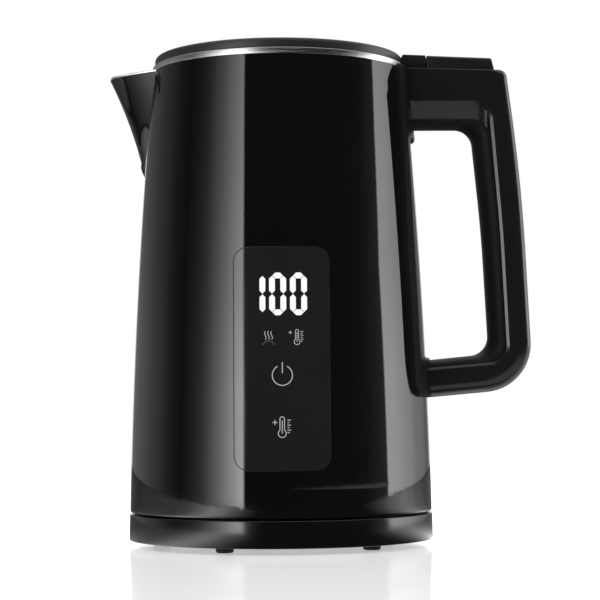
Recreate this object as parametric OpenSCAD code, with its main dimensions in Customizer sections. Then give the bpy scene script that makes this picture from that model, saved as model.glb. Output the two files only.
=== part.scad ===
// Cordless electric kettle on a 360 degree power base.
// The origin is on the kettle's axis at the surface that the base stands on.
// +Z is up, the spout points to -X, the handle to +X and the touch panel to -Y.

/* [Power base] */
// Radius of the base's skirt at its lower edge
base_r = 75; // [72:0.5:80]
// Draft of the skirt, lower radius less upper radius
base_draft = 0.26; // [0:0.02:1]
// Height of the base above the surface
base_h = 15.8; // [13:0.1:20]
// Height of the rubber feet below the skirt
foot_h = 3; // [2:0.1:4]
// Diameter of a foot
foot_d = 8.5; // [6:0.5:12]
// Number of feet
foot_count = 5; // [3:1:6]
// Radius of the circle that the feet stand on
foot_ring_r = 60; // [52:1:64]
// Wall of the base's mouldings
base_wall = 2.4; // [1.8:0.1:3]
// Depth of the drip dish in the deck
dish_depth = 1.5; // [0.5:0.1:2]
// Radius of the socket boss
socket_r = 16.5; // [15:0.1:18]
// Height of the socket boss above the deck
socket_h = 11.2; // [9:0.1:13]
// Radius of the cord's hole
cord_r = 3.6; // [3:0.1:4]

/* [Body] */
// Radius of the body at its lower edge
body_bottom_r = 74.55; // [71:0.05:78]
// Radius of the body at its upper edge
body_top_r = 63.05; // [61:0.05:65]
// How far the side bows out from a straight taper
body_bow = 1.9; // [0:0.1:3]
// Height of the outer shell
body_h = 217.6; // [205:0.1:230]
// Wall of the outer shell
body_wall = 2.2; // [1.8:0.1:2.8]
// Gap that shows between the base and the shell
edge_gap = 0.8; // [0.4:0.1:1.5]
// Height of the steel ring's visible band
ring_h = 2.9; // [2:0.1:4]

/* [Vessel] */
// Outer radius of the steel vessel at its mouth
vessel_top_r = 58.8; // [56:0.1:59]
// Outer radius of the steel vessel near its floor
vessel_bottom_r = 60.6; // [59:0.1:62]
// Sheet of the vessel
vessel_wall = 0.7; // [0.5:0.1:1]
// Height of the vessel's floor above the surface
vessel_z = 46; // [46:0.5:50]
// Thickness of the heater plate
heater_t = 4; // [3:0.1:5]
// Radius of the heating element's tube
element_r = 3.5; // [3:0.1:3.8]
// Radius of the heating element's bend
element_ring_r = 42; // [38:1:48]

/* [Spout] */
// Reach of the spout's ridge from the axis, at the lip
spout_reach = 84.8; // [78:0.1:90]
// Height of the spout, from its foot to the rim
spout_h = 53; // [45:1:60]
// Lean of the ridge at the foot, run over rise
spout_lean = 0.215; // [0.1:0.005:0.3]
// Half width of the spout where it meets the body at the rim
spout_half_w = 17.4; // [15:0.1:22]
// Radius of the ridge
spout_nose_r = 3.4; // [2.5:0.1:5]
// Fullness of the spout's sides, flat at 0
spout_swell = 0.34; // [0.1:0.01:0.5]
// Wall of the spout
spout_wall = 1.8; // [1.4:0.1:2.4]
// Sheet of the steel liner
liner_wall = 0.6; // [0.4:0.1:1]
// Fall of the lip towards the tip
lip_fall_deg = 4.1; // [2:0.1:8]
// Diameter of the filter's holes
filter_hole_d = 2.4; // [1.5:0.1:3]

/* [Handle] */
// Height of the handle's top face
handle_top_z = 235.8; // [234:0.1:236.5]
// Reach of the handle's outer edge at the top
handle_top_reach = 113.2; // [108:0.1:120]
// Reach of the handle's outer edge at the bottom
handle_reach = 125; // [120:0.1:130]
// Height of the handle's lowest corner
handle_bottom_z = 76.6; // [70:0.1:84]
// Rise of the lower arm's underside over its length
lower_arm_rise = 6; // [2:0.1:8]
// Radius of the outer lower corner
handle_corner_r = 24; // [16:0.5:28]
// Half width of the handle
handle_half_w = 15.5; // [14:0.1:18]
// Half width of the grip
grip_half_w = 12; // [11:0.1:12.6]
// Thickness of the grip, from its inner to its outer edge
grip_t = 21; // [20:0.1:23]
// Height of the finger opening's upper edge
opening_top_z = 206.2; // [200:0.1:208]
// Height of the finger opening's lower edge
opening_bottom_z = 93.6; // [88:0.1:100]
// Depth of the grip's rounding
grip_round = 7.8; // [5:0.1:8.5]
// Radius of the handle's outer edges
handle_edge_r = 5.5; // [3:0.1:6]
// Thickness of the mount strip on the body
mount_t = 2.2; // [1.5:0.1:3]

/* [Lid] */
// Radius of the lid
lid_r = 61.9; // [60:0.1:62.4]
// Height of the lid's edge above the ring
lid_edge_h = 4.6; // [4.4:0.1:5]
// Rise of the lid from its edge to its centre
lid_dome = 1.2; // [0.5:0.1:2]
// Radius of the lid's plug
plug_r = 56.4; // [54:0.1:56.5]
// Depth of the plug below the ring's top
plug_depth = 11; // [8:0.1:13]
// Half width of the hinge ear and the button
ear_half_w = 12; // [11:0.1:12.5]
// Radius of the hinge pin
pin_r = 1.25; // [1:0.05:1.3]

/* [Button] */
// Length of the button
button_len = 31; // [29:0.1:32]
// Travel of the button
button_travel = 3; // [2:0.1:3]
// Wall of the button
button_wall = 1.6; // [1.2:0.1:1.8]

/* [Panel] */
// Half width of the touch panel
panel_half_w = 22.05; // [19:0.1:22.5]
// Height of the panel's lower edge above the surface
panel_z = 39; // [38:0.5:45]
// Height of the panel
panel_h = 103; // [100:1:104]
// Corner radius of the panel
panel_corner_r = 6.5; // [4:0.1:8]
// Thickness of the panel
panel_t = 1.2; // [1:0.1:1.4]
// Ledge that the panel rests on
panel_ledge = 2.5; // [2:0.1:3]
// Height of a display digit
digit_h = 19.8; // [16:0.1:20]
// Width of a display digit
digit_w = 7.9; // [7:0.1:8]
// Width of a digit's segment
segment_w = 2.7; // [2:0.1:2.8]

/* [Clearances] */
// Gap between two bodies that rest on each other
seat_gap = 0.2; // [0.1:0.05:0.3]
// Radial clearance of a pin in its bore
run_gap = 0.05; // [0.02:0.01:0.1]
// Gap between mouldings that fit into each other
fit_gap = 0.1; // [0.05:0.05:0.15]
// Gap round a part that moves
move_gap = 0.3; // [0.25:0.05:0.4]

/* [Hidden] */
$fn = 96;
eps = 0.5;

// Levels of the base and the kettle's underside
base_top_r = base_r - base_draft;
deck_in_r = base_r - 18;
dish_z = base_h - dish_depth;
plate_r = base_r - base_draft - base_wall - fit_gap;
socket_top = base_h + socket_h;
socket_flange_r = socket_r + 5;
first_foot_deg = -116.8;
cord_z = foot_h + (base_h - base_wall - foot_h) / 2;
gland_half_w = cord_r + 2.2;

body_z = base_h + edge_gap;
rim_z = body_z + body_h;
ring_top = rim_z + ring_h;

// Underside: a foot ring, a floor and a cup over the socket
seat_r = 62;
seat_w = 4;
floor_z = base_h + 1.9;
floor_t = 2;
cup_r = socket_r + 4;
cup_wall = 2;
cup_roof_z = socket_top + 3.4;
cup_roof_t = 2;
neck_r = 13;

// The coupler's blades and their slots
blade_r = 11;
blade_t = 1.4;
blade_len = 9;
slot_gap = 0.8;
centre_pin_r = 2.2;

// Vessel and heater
vessel_corner_r = 6;
ring_skirt = 1.7;
sensor_r = 2.5;
sensor_x = -22;
sensor_y = 18;
board_z = floor_z + floor_t + 2.5;
board_t = 1.6;

// Spout
spout_z = rim_z + 1 - spout_h;
spout_top = ring_top + 3;
spout_flare = (spout_reach - body_r(spout_z) - spout_lean * (spout_h - 3)) / pow(spout_h - 3, 2);
spout_steps = 14;
root_depth = 0.8;
lip_x = -body_top_r - 1.55;
lip_z = rim_z + 0.1;
lip_keep = 0.2;
flank_steps = 7;
nose_pull = 1.65;
lip_t = 0.8;
tip_x = -spout_reach + 1.1;
tip_run = 4;
tip_drop = 2.6;

// Handle outline
arm_in_x = body_top_r - 7;
opening_x = handle_reach - grip_t;
opening_top_x = handle_top_reach - grip_t + 3.7;
grip_lift = 3.8;
band_side = 1.5;
band_top = 8.7;
band_bottom = 1.2;
grip_back = 2.5;
loft_steps = 6;

// Hinge, button and catch
hinge_x = body_top_r + 6.65;
lid_z = ring_top + move_gap;
lid_top = lid_z + lid_edge_h;
ear_top = lid_top - 0.2;
ear_r = 3.3;
hinge_z = ear_top - ear_r + 0.1;
ear_bottom = handle_top_z + 0.35;
ear_sweep_r = norm([ear_r, hinge_z - ear_bottom]) + move_gap;
lug_r = 2.05;
lug_in = 7.2;
lug_t = 3;
tail_half_w = 4;
tail_len = 9.3;
tail_top = -3.2;
tail_t = 2;
tail_reach = norm([tail_len, tail_top - tail_t]);
tail_sweep_r = tail_reach + move_gap;
tail_root_x = 1.4;
tail_root_r = norm([tail_root_x, tail_top - tail_t]) + move_gap;
lid_open_deg = 80;
well_z = hinge_z - tail_sweep_r + 0.35;
well_x = hinge_x + ear_r + 0.7;
button_x = well_x + 0.25;
button_end = button_x + button_len + 1.6;
button_top = ear_top - 0.4;
button_fall = 1.3;
button_low = well_z + button_travel + move_gap;
roof_t = 1.8;
catch_r = tail_sweep_r + move_gap;
catch_z = well_z + 0.15;
catch_t = 4.6;
catch_end = button_x + 20.6;
wedge_x = button_x + 12;
wedge_z = button_low + 0.1;
wedge_w = 2.4;
spring_x = button_x + 26.4;
spring_r = 2;
spring_wire = 0.5;

// Panel and boards on the front wall
panel_top = panel_z + panel_h;
panel_mid = panel_z + panel_h / 2;
wall_tilt = atan((body_r(panel_z) - body_r(panel_top)) / panel_h);
front_board_depth = 7.4;
front_board_half_w = 17;
front_board_h = 94;
digit_z = panel_z + 71.35;
digit_pitch = 9.65;
digit_x = 7.85;
touch_rows = [panel_z + 20, panel_z + 44.2];
led_z = panel_z + 61;
led_x = 6.3;

// Screws
screw_r = 1.6;
screw_head_r = 3;
screw_head_h = 1.7;
handle_screw_y = 8;
handle_screw_z = [handle_bottom_z + 4, opening_top_z + 15.3];

// Radius of the outer shell at height z
function body_r(z) =
    let (t = (z - body_z) / body_h)
    body_bottom_r + (body_top_r - body_bottom_r) * t + 4 * body_bow * t * (1 - t);

// Outer radius of the vessel at height z
function vessel_r(z) =
    vessel_bottom_r + (vessel_top_r - vessel_bottom_r) * (z - vessel_z) / (rim_z - vessel_z);

function unit(v) = v / norm(v);

// Points of an arc of radius r that rounds the corner b between a and c
function corner_arc(a, b, c, r, n) =
    r == 0 ? [b] :
    let (
        u = unit(a - b),
        v = unit(c - b),
        half = acos(u * v) / 2,
        o = b + unit(u + v) * r / sin(half),
        s = b + u * r / tan(half) - o,
        e = b + v * r / tan(half) - o,
        a0 = atan2(s[1], s[0]),
        turn = atan2(e[1], e[0]) - a0,
        da = turn > 180 ? turn - 360 : turn < -180 ? turn + 360 : turn
    )
    [for (i = [0 : n]) o + r * [cos(a0 + da * i / n), sin(a0 + da * i / n)]];

// Outline with each corner [point, radius] rounded
function rounded(corners, n = 8) =
    let (m = len(corners))
    [for (i = [0 : m - 1])
        each corner_arc(corners[(i + m - 1) % m][0], corners[i][0], corners[(i + 1) % m][0],
            corners[i][1], n)];

// Rungs that fill a ring of n points, between those counted from its two ends
function rungs(n) =
    [for (i = [0 : floor((n - 1) / 2) - 1])
        i + 1 < n - 2 - i ? [i, i + 1, n - 2 - i, n - 1 - i] : [i, i + 1, n - 1 - i]];

// Solid between equal rings of points, with flat ends
module loft(rings) {
    n = len(rings[0]);
    m = len(rings);
    ends = rungs(n);
    polyhedron(
        points = [for (ring = rings) each ring],
        faces = concat(
            ends,
            [for (k = [0 : m - 2]) for (i = [0 : n - 1])
                each [[k * n + i, (k + 1) * n + i, (k + 1) * n + (i + 1) % n],
                      [k * n + i, (k + 1) * n + (i + 1) % n, k * n + (i + 1) % n]]],
            [for (f = ends) [for (j = [len(f) - 1 : -1 : 0]) (m - 1) * n + f[j]]]
        )
    );
}

// Wire coil standing on z = 0
module coil(r, wire_d, height, turns, sides = 6, steps = 14) {
    rise = height - wire_d;
    count = turns * steps;
    loft([for (k = [0 : count])
        let (a = 360 * k / steps, z = wire_d / 2 + rise * k / count)
        [for (i = [0 : sides - 1])
            let (b = -360 * i / sides, d = r + wire_d / 2 * cos(b))
            [d * cos(a), d * sin(a), z + wire_d / 2 * sin(b)]]]);
}

// Solid of the body's outer form, moved in by inset
module body_solid(inset, z0, z1, steps = 16) {
    rotate_extrude()
        polygon(concat(
            [[0, z0]],
            [for (i = [0 : steps])
                let (z = z0 + (z1 - z0) * i / steps) [body_r(z) - inset, z]],
            [[0, z1]]
        ));
}

// Ring of rectangular section
module tube(r_out, r_in, z0, z1) {
    translate([0, 0, z0])
        difference() {
            cylinder(r = r_out, h = z1 - z0);
            translate([0, 0, -eps])
                cylinder(r = r_in, h = z1 - z0 + 2 * eps);
        }
}

module disc(r, z0, z1) {
    translate([0, 0, z0])
        cylinder(r = r, h = z1 - z0);
}

// Plate of an XZ outline, centred on y = 0
module side_plate(points, half_w) {
    rotate([90, 0, 0])
        linear_extrude(2 * half_w, center = true)
            polygon(points);
}

// Plate of an XZ outline on each side, from y0 to y1
module side_plate_pair(points, y0, y1) {
    for (side = [-1, 1])
        translate([0, side * (y0 + y1) / 2, 0])
            side_plate(points, (y1 - y0) / 2);
}

// Pan-head screw whose head's underside is at z = 0 and whose shank points to -Z
module screw(len) {
    cylinder(r = screw_head_r, h = screw_head_h);
    translate([0, 0, -len])
        cylinder(r = screw_r, h = len);
}

// ---------- Power base ----------

module foot_places() {
    for (i = [0 : foot_count - 1])
        rotate([0, 0, first_foot_deg + i * 360 / foot_count])
            translate([foot_ring_r, 0, 0])
                children();
}

module base_screw_places() {
    for (i = [0 : 2])
        rotate([0, 0, 30 + i * 120])
            translate([foot_ring_r - 14, 0, 0])
                children();
}

module base_cover() {
    color("#17181a")
    difference() {
        union() {
            rotate_extrude()
                polygon([
                    [base_r - base_wall, foot_h], [base_r, foot_h], [base_top_r, base_h],
                    [deck_in_r, base_h], [deck_in_r - dish_depth, dish_z],
                    [socket_r + fit_gap, dish_z], [socket_r + fit_gap, dish_z - base_wall],
                    [deck_in_r, dish_z - base_wall], [deck_in_r + dish_depth, base_h - base_wall],
                    [base_top_r - base_wall, base_h - base_wall]
                ]);
            base_screw_places()
                disc(screw_r + 2, foot_h + base_wall + fit_gap, dish_z - base_wall + 0.2);
        }
        base_screw_places()
            disc(screw_r, foot_h, dish_z - base_wall - 0.4);
        translate([0, base_r, cord_z])
            rotate([90, 0, 0])
                cylinder(r = cord_r + 1.4, h = 20, center = true);
    }
}

module base_plate() {
    color("#1c1d1f")
    difference() {
        union() {
            disc(plate_r, foot_h, foot_h + base_wall);
            tube(plate_r - 8, plate_r - 10, foot_h + base_wall - 0.2, foot_h + base_wall + 1.5);
            tube(socket_flange_r + 3, socket_flange_r + fit_gap,
                foot_h + base_wall - 0.2, foot_h + base_wall + 3);
        }
        disc(foot_ring_r - foot_d - 12, foot_h - eps, foot_h + 0.8);
        translate([-gland_half_w, base_r - 9, foot_h - eps])
            cube([2 * gland_half_w, 12, 10]);
        foot_places()
            disc(foot_d / 2, foot_h - eps, foot_h + 1);
        base_screw_places() {
            disc(screw_r + fit_gap, foot_h - eps, foot_h + base_wall + eps);
            disc(screw_head_r + fit_gap, foot_h - eps, foot_h + 1.1);
        }
    }
}

module base_socket() {
    flange_z = foot_h + base_wall + 0.1;
    color("#2a2b2d")
    difference() {
        union() {
            disc(socket_flange_r, flange_z, flange_z + 2);
            disc(socket_r, flange_z, socket_top - 1);
            translate([0, 0, socket_top - 1])
                cylinder(r1 = socket_r, r2 = socket_r - 1, h = 1);
        }
        tube(blade_r + slot_gap, blade_r - blade_t - slot_gap,
            socket_top - blade_len - 1.5, socket_top + eps);
        disc(centre_pin_r + slot_gap, socket_top - blade_len - 1.5, socket_top + eps);
    }
}

// Spring contacts at the foot of the socket's slots
module base_contacts() {
    z = socket_top - blade_len - 1.5;
    color("#c8a24a")
    union() {
        disc(centre_pin_r + 0.3, z, z + 0.8);
        for (a = [90, 210, 330])
            rotate([0, 0, a])
                translate([blade_r - blade_t / 2, 0, z + 0.4])
                    cube([blade_t, 4, 0.8], center = true);
    }
}

module base_feet() {
    color("#101010")
    foot_places() {
        disc(foot_d / 2, 0.6, foot_h + 1);
        cylinder(r1 = foot_d / 2 - 0.6, r2 = foot_d / 2, h = 0.6);
    }
}

module base_screws() {
    color("#9a9a9a")
    base_screw_places()
        translate([0, 0, foot_h + 1.1])
            mirror([0, 0, 1])
                screw_flat(dish_z - base_wall - foot_h - 2.2);
}

// Screw with a thin head, head towards +Z and shank towards -Z
module screw_flat(len) {
    cylinder(r = screw_head_r, h = 0.9);
    translate([0, 0, -len])
        cylinder(r = screw_r, h = len);
}

module cord_gland() {
    color("#151515")
    translate([0, base_r, cord_z])
        rotate([90, 0, 0])
            difference() {
                union() {
                    translate([0, 0, -0.6])
                        cylinder(r = cord_r + 1.3, h = 8);
                    translate([0, 0, base_wall + 0.4])
                        cylinder(r = cord_r + 1.5, h = 1.2);
                }
                translate([0, 0, -2])
                    cylinder(r = cord_r, h = 12);
            }
}

// ---------- Coupler ----------

module coupler() {
    blade_top = cup_roof_z - 1.8;
    color("#d8d2c0")
    union() {
        disc(neck_r, cup_roof_z - 0.2, cup_roof_z + cup_roof_t + 0.6);
        disc(cup_r - 3, cup_roof_z - 2, cup_roof_z - run_gap);
        tube(blade_r, blade_r - blade_t, socket_top - blade_len, cup_roof_z - 1);
        disc(centre_pin_r, socket_top - blade_len, blade_top);
        translate([0, 0, socket_top - blade_len - 0.6])
            cylinder(r1 = centre_pin_r - 0.6, r2 = centre_pin_r, h = 0.6);
    }
}

// ---------- Kettle body ----------

// Distance of the spout's ridge from the axis
function ridge(z) =
    let (s = z - spout_z)
    body_r(spout_z) + spout_lean * s + spout_flare * s * s;

// Half width of the spout at the body
function spout_w(z) = spout_half_w * pow((z - spout_z) / (rim_z + 1 - spout_z), 0.62);

// One level of the spout, moved in by inset
function spout_ring(z, inset) =
    let (
        w = max(spout_w(z) - inset * 1.1, 0.6),
        r = body_r(min(z, rim_z)),
        root = [sqrt(pow(r - root_depth, 2) - w * w), w],
        nose = max(min(spout_nose_r - inset, w * 0.8), 0.5),
        tip = [max(ridge(z) - inset * 1.25, root[0] + nose), 0],
        run = tip[0] - root[0],
        away = atan(w / run) * (1 - spout_swell),
        p1 = root + run / 2 * [cos(away), -sin(away)],
        p2 = [tip[0], min(nose * nose_pull, p1[1] * 0.9)],
        side = [for (i = [0 : flank_steps])
            let (t = i / flank_steps, u = 1 - t)
            u * u * u * root + 3 * u * u * t * p1 + 3 * u * t * t * p2 + t * t * t * tip]
    )
    [for (p = concat([[r - 9, w]], side,
            [for (i = [flank_steps - 1 : -1 : 0]) [side[i][0], -side[i][1]]], [[r - 9, -w]]))
        [-p[0], p[1], z]];

module spout_solid(inset, z0, z1) {
    loft([for (i = [0 : spout_steps])
        let (t = i / spout_steps) spout_ring(z0 + (z1 - z0) * t, inset)]);
}

// All that lies above the lip, lowered by drop
module above_lip(drop) {
    slope = tan(lip_fall_deg);
    side_plate([
        [lip_x + 25, lip_z + 25 * slope - drop], [lip_x, lip_z - drop],
        [tip_x, lip_z - (lip_x - tip_x) * slope - drop],
        [tip_x - tip_run, lip_z - (lip_x - tip_x) * slope - tip_drop - drop],
        [tip_x - 4 * tip_run, lip_z - (lip_x - tip_x) * slope - 4 * tip_drop - drop],
        [tip_x - 4 * tip_run, lip_z + 20], [lip_x + 25, lip_z + 20]
    ], 40);
}

// The ring's path above the rim, with all that lies inside it
module inside_ring(gap) {
    disc(body_top_r + gap, rim_z, rim_z + 20);
}

module panel_outline(grow) {
    w = panel_half_w + grow;
    r = panel_corner_r + grow;
    polygon(rounded([
        [[w, panel_z - grow], r], [[w, panel_top + grow], r],
        [[-w, panel_top + grow], r], [[-w, panel_z - grow], r]
    ]));
}

// Prism of the panel's outline through the front wall
module panel_prism(grow) {
    rotate([90, 0, 0])
        linear_extrude(body_bottom_r + 10)
            panel_outline(grow);
}

module handle_screw_places() {
    for (z = handle_screw_z)
        for (y = [-handle_screw_y, handle_screw_y])
            translate([body_r(z) - body_wall - 1.1, y, z])
                rotate([0, -90, 0])
                    children();
}

module handle_screw_bores() {
    handle_screw_places()
        translate([0, 0, -30])
            cylinder(r = screw_r + run_gap, h = 30);
}

module outer_shell() {
    color("#0d0e10")
    difference() {
        union() {
            body_solid(0, body_z, rim_z);
            spout_solid(0, spout_z + 1.5, spout_top);
        }
        body_solid(body_wall, body_z - 1, rim_z + 0.001);
        disc(body_bottom_r - body_wall, body_z - 2, body_z + 0.5);
        inside_ring(0);
        spout_solid(spout_wall, spout_z + 8, spout_top + 1);
        difference() {
            above_lip(lip_t);
            body_solid(-lip_keep, body_z, rim_z);
        }
        difference() {
            panel_prism(fit_gap);
            body_solid(panel_t + fit_gap, body_z - 1, rim_z);
        }
        panel_prism(-panel_ledge);
        handle_screw_bores();
    }
}

module inner_vessel() {
    low_r = vessel_r(vessel_z + vessel_corner_r);
    c = vessel_corner_r;
    top = ring_top - 1.1;
    color("#b9bbbd")
    difference() {
        rotate_extrude()
            polygon(concat(
                [[0, vessel_z]],
                [for (i = [0 : 4]) let (a = -90 + 90 * i / 4)
                    [low_r - c + c * cos(a), vessel_z + c + c * sin(a)]],
                [[vessel_top_r, top], [vessel_top_r - vessel_wall, top]],
                [for (i = [4 : -1 : 0]) let (a = -90 + 90 * i / 4, q = c - vessel_wall)
                    [low_r - c + q * cos(a), vessel_z + c + q * sin(a)]],
                [[0, vessel_z + vessel_wall]]
            ));
        filter_window(0.3);
        translate([sensor_x, sensor_y, vessel_z - 1])
            cylinder(r = sensor_r + run_gap, h = 5);
    }
}

// Window between the vessel and the spout, a little narrower than the channel
module filter_window(grow) {
    half = filter_half_w + grow;
    translate([-vessel_top_r - 12, 0, 0])
        rotate([90, 0, 90])
            linear_extrude(24)
                polygon(rounded([
                    [[half, filter_top + grow], 2], [[-half, filter_top + grow], 2],
                    [[-half * 0.45, filter_z - grow], 2], [[half * 0.45, filter_z - grow], 2]
                ], 4));
}

filter_half_w = spout_half_w - 7;
filter_z = spout_z + 14;
filter_top = rim_z - 6.5;

module rim_ring() {
    in_r = vessel_top_r + run_gap;
    color("#d9dadc")
    rotate_extrude()
        polygon([
            [body_top_r, rim_z], [body_top_r - 0.2, ring_top - 0.3], [body_top_r - 0.5, ring_top],
            [in_r + 0.4, ring_top], [in_r, ring_top - 0.4], [in_r, rim_z - ring_skirt],
            [in_r + 1, rim_z - ring_skirt], [in_r + 1, rim_z]
        ]);
}

module spout_liner() {
    gap = fit_gap;
    color("#c9cacc")
    difference() {
        union() {
            spout_solid(spout_wall + gap, spout_z + 8 + gap, spout_top);
            difference() {
                intersection() {
                    spout_solid(-0.15, spout_z + 30, spout_top);
                    above_lip(lip_t - gap);
                }
                body_solid(-lip_keep - gap, body_z, rim_z + 1);
            }
        }
        spout_solid(spout_wall + gap + liner_wall, spout_z + 9, spout_top + 1);
        above_lip(0);
        disc(vessel_bottom_r + 1, spout_z, filter_z - 4);
        disc(vessel_r(filter_z) + gap, filter_z - 5, ring_top + 10);
        disc(body_top_r - body_wall - 0.3, rim_z - 2.2, ring_top + 10);
        inside_ring(gap);
    }
}

// Perforated plate behind the window
module spout_filter() {
    r = vessel_r(filter_z) - vessel_wall - 0.75;
    pitch = filter_hole_d + 1.6;
    rows = floor((filter_top - filter_z - 4) / pitch);
    color("#a8abad")
    difference() {
        intersection() {
            tube(r, r - 0.6, filter_z - 2.5, filter_top + 1.5);
            filter_window(2);
        }
        for (k = [0 : rows - 1])
            let (
                z = filter_z + 3 + k * pitch,
                reach = filter_half_w * (0.45 + 0.55 * (z - filter_z) / (filter_top - filter_z)) - 2.4,
                side = floor(reach / pitch)
            )
            for (j = [-side : side])
                rotate([0, 0, 180 + j * pitch / r * 180 / PI])
                    translate([r - 5, 0, z])
                        rotate([0, 90, 0])
                            cylinder(d = filter_hole_d, h = 10, $fn = 16);
    }
}

module heater_plate() {
    color("#c4c6c8")
    difference() {
        disc(vessel_bottom_r - 9, vessel_z - heater_t, vessel_z);
        translate([sensor_x, sensor_y, vessel_z - heater_t - 1])
            cylinder(r = sensor_r + run_gap, h = heater_t + 2);
    }
}

// Horseshoe tube with two cold pins
module heating_element() {
    z = vessel_z - heater_t - element_r;
    color("#8d8f92")
    union() {
        translate([0, 0, z])
            rotate([0, 0, 30])
                rotate_extrude(angle = 300)
                    translate([element_ring_r, 0])
                        circle(r = element_r, $fn = 32);
        for (a = [34, 326])
            rotate([0, 0, a])
                translate([element_ring_r, 0, z - element_r - 4])
                    cylinder(r = 1.2, h = element_r + 4, $fn = 24);
    }
}

module boil_control() {
    z = cup_roof_z + cup_roof_t + 0.9;
    color("#e0dccf")
    union() {
        disc(22, z, z + 3);
        translate([-17, -10, z + 2.9])
            cube([34, 20, vessel_z - heater_t - z - 5]);
        for (x = [-9, 9])
            translate([x, 0, z + 3])
                cylinder(r = 6.4, h = vessel_z - heater_t - z - 3.05);
        for (y = [-17, 17])
            translate([0, y, cup_roof_z + cup_roof_t])
                cylinder(r = 2.4, h = 2);
    }
}

module temperature_sensor() {
    color("#bfc1c3")
    translate([sensor_x, sensor_y, 0]) {
        disc(sensor_r, vessel_z - heater_t - 3, vessel_z + 9);
        translate([0, 0, vessel_z + 9])
            sphere(r = sensor_r, $fn = 32);
        disc(sensor_r + 2.5, vessel_z - heater_t - 2.2, vessel_z - heater_t - 0.05);
    }
}

module bottom_screw_places() {
    for (a = [70, 190, 310])
        rotate([0, 0, a])
            translate([seat_r - 7.5, 0, 0])
                children();
}

module bottom_cover() {
    edge_r = body_r(body_z + 4) - body_wall - fit_gap;
    color("#161719")
    difference() {
        union() {
            disc(edge_r - 0.6, floor_z, floor_z + floor_t);
            tube(edge_r, edge_r - 1.8, floor_z, floor_z + 5);
            tube(seat_r + seat_w / 2, seat_r - seat_w / 2, base_h + seat_gap, floor_z + 0.2);
            disc(cup_r + cup_wall, floor_z, cup_roof_z + cup_roof_t);
            for (x = [34, 58])
                for (y = [-22, 22])
                    translate([x, y, floor_z + floor_t - 0.2])
                        cylinder(r = 2.4, h = board_z - floor_z - floor_t + 0.2);
            bottom_screw_places()
                disc(screw_r + 2.2, floor_z + 1, floor_z + 12);
        }
        disc(cup_r, floor_z - 3, cup_roof_z);
        disc(neck_r + run_gap, cup_roof_z - 1, cup_roof_z + cup_roof_t + 1);
        bottom_screw_places() {
            disc(screw_r, floor_z - 1, floor_z + 11);
            disc(screw_head_r + fit_gap, floor_z - 1, floor_z + 1);
        }
    }
}

module bottom_screws() {
    color("#9a9a9a")
    bottom_screw_places()
        translate([0, 0, floor_z + 1])
            mirror([0, 0, 1])
                screw_flat(9);
}

module control_board() {
    color("#2f6b45")
    union() {
        translate([30, -27, board_z])
            cube([32, 54, board_t]);
        for (y = [-24, 19])
            translate([50, y, board_z + board_t - 0.01])
                cube([8, 5, 6]);
        translate([34, -6, board_z + board_t - 0.01])
            cylinder(r = 3, h = 8, $fn = 32);
    }
}

module power_relay() {
    color("#1d4f8c")
    translate([43, -9, board_z + board_t])
        cube([12, 18, vessel_z - heater_t - 2 * element_r - board_z - board_t - 1.2]);
}

// Flat cable from the display board down and along the floor to the power board
module display_cable() {
    y = -(body_r(panel_z) - front_board_depth - 2.2);
    color("#c9c9c9")
    union() {
        translate([-6, y - 0.35, floor_z + floor_t + 0.6])
            cube([12, 0.7, panel_mid - front_board_h / 2 + 5 - floor_z - floor_t]);
        translate([0, 0, floor_z + floor_t + 0.6])
            linear_extrude(0.7)
                polygon([[-6, y - 0.35], [6, y - 0.35], [6, y + 6], [34, -27.2], [31, -27.2],
                    [31, -28], [-6, y + 8]]);
        translate([30.2, -28, floor_z + floor_t + 0.6])
            cube([3.8, 0.8, board_z - floor_z - floor_t + 0.9]);
    }
}

module control_panel() {
    color("#1f2022")
    intersection() {
        difference() {
            body_solid(0, panel_z - 10, panel_top + 10);
            body_solid(panel_t, panel_z - 11, panel_top + 11);
        }
        panel_prism(0);
    }
}

// Places children on the front wall's chord, depth behind its surface
module on_front(z, depth) {
    translate([0, -body_r(panel_mid), panel_mid])
        rotate([-wall_tilt, 0, 0])
            translate([0, depth, (z - panel_mid) / cos(wall_tilt)])
                children();
}

module display_board() {
    color("#245c3a")
    on_front(panel_mid, front_board_depth)
        translate([-front_board_half_w, 0, -front_board_h / 2])
            cube([2 * front_board_half_w, board_t, front_board_h]);
}

// One horizontal or vertical segment with pointed ends
module segment(len) {
    h = segment_w / 2;
    polygon([[-len / 2, 0], [-len / 2 + h, h], [len / 2 - h, h], [len / 2, 0],
        [len / 2 - h, -h], [-len / 2 + h, -h]]);
}

// Seven-segment digit, on lists the lit segments from a to g
module digit(on) {
    x = (digit_w - segment_w) / 2;
    y = (digit_h - segment_w) / 2;
    gap = 0.35;
    places = [[0, y, 0, 2 * x], [x, y / 2, 90, y], [x, -y / 2, 90, y], [0, -y, 0, 2 * x],
        [-x, -y / 2, 90, y], [-x, y / 2, 90, y], [0, 0, 0, 2 * x]];
    for (i = [0 : 6])
        if (on[i])
            translate([places[i][0], places[i][1]])
                rotate(places[i][2])
                    segment(places[i][3] - gap);
}

ZERO = [true, true, true, true, true, true, false];
ONE = [false, true, true, false, false, false, false];

// Display block with its segment windows standing proud
module led_display() {
    digits = [ONE, ZERO, ZERO];
    depth = 3.4;
    color("#f2f4f6")
    on_front(digit_z + digit_h / 2, depth)
        union() {
            translate([digit_x - 2.5 * digit_pitch - 0.4, 0.4, -digit_h / 2 - 2])
                cube([3 * digit_pitch - 1.2, front_board_depth - depth - 0.4, digit_h + 4]);
            for (i = [0 : 2])
                translate([digit_x + (i - 2) * digit_pitch, 0.5, 0])
                    rotate([90, 0, 0])
                        linear_extrude(0.5)
                            digit(digits[i]);
        }
}

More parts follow.
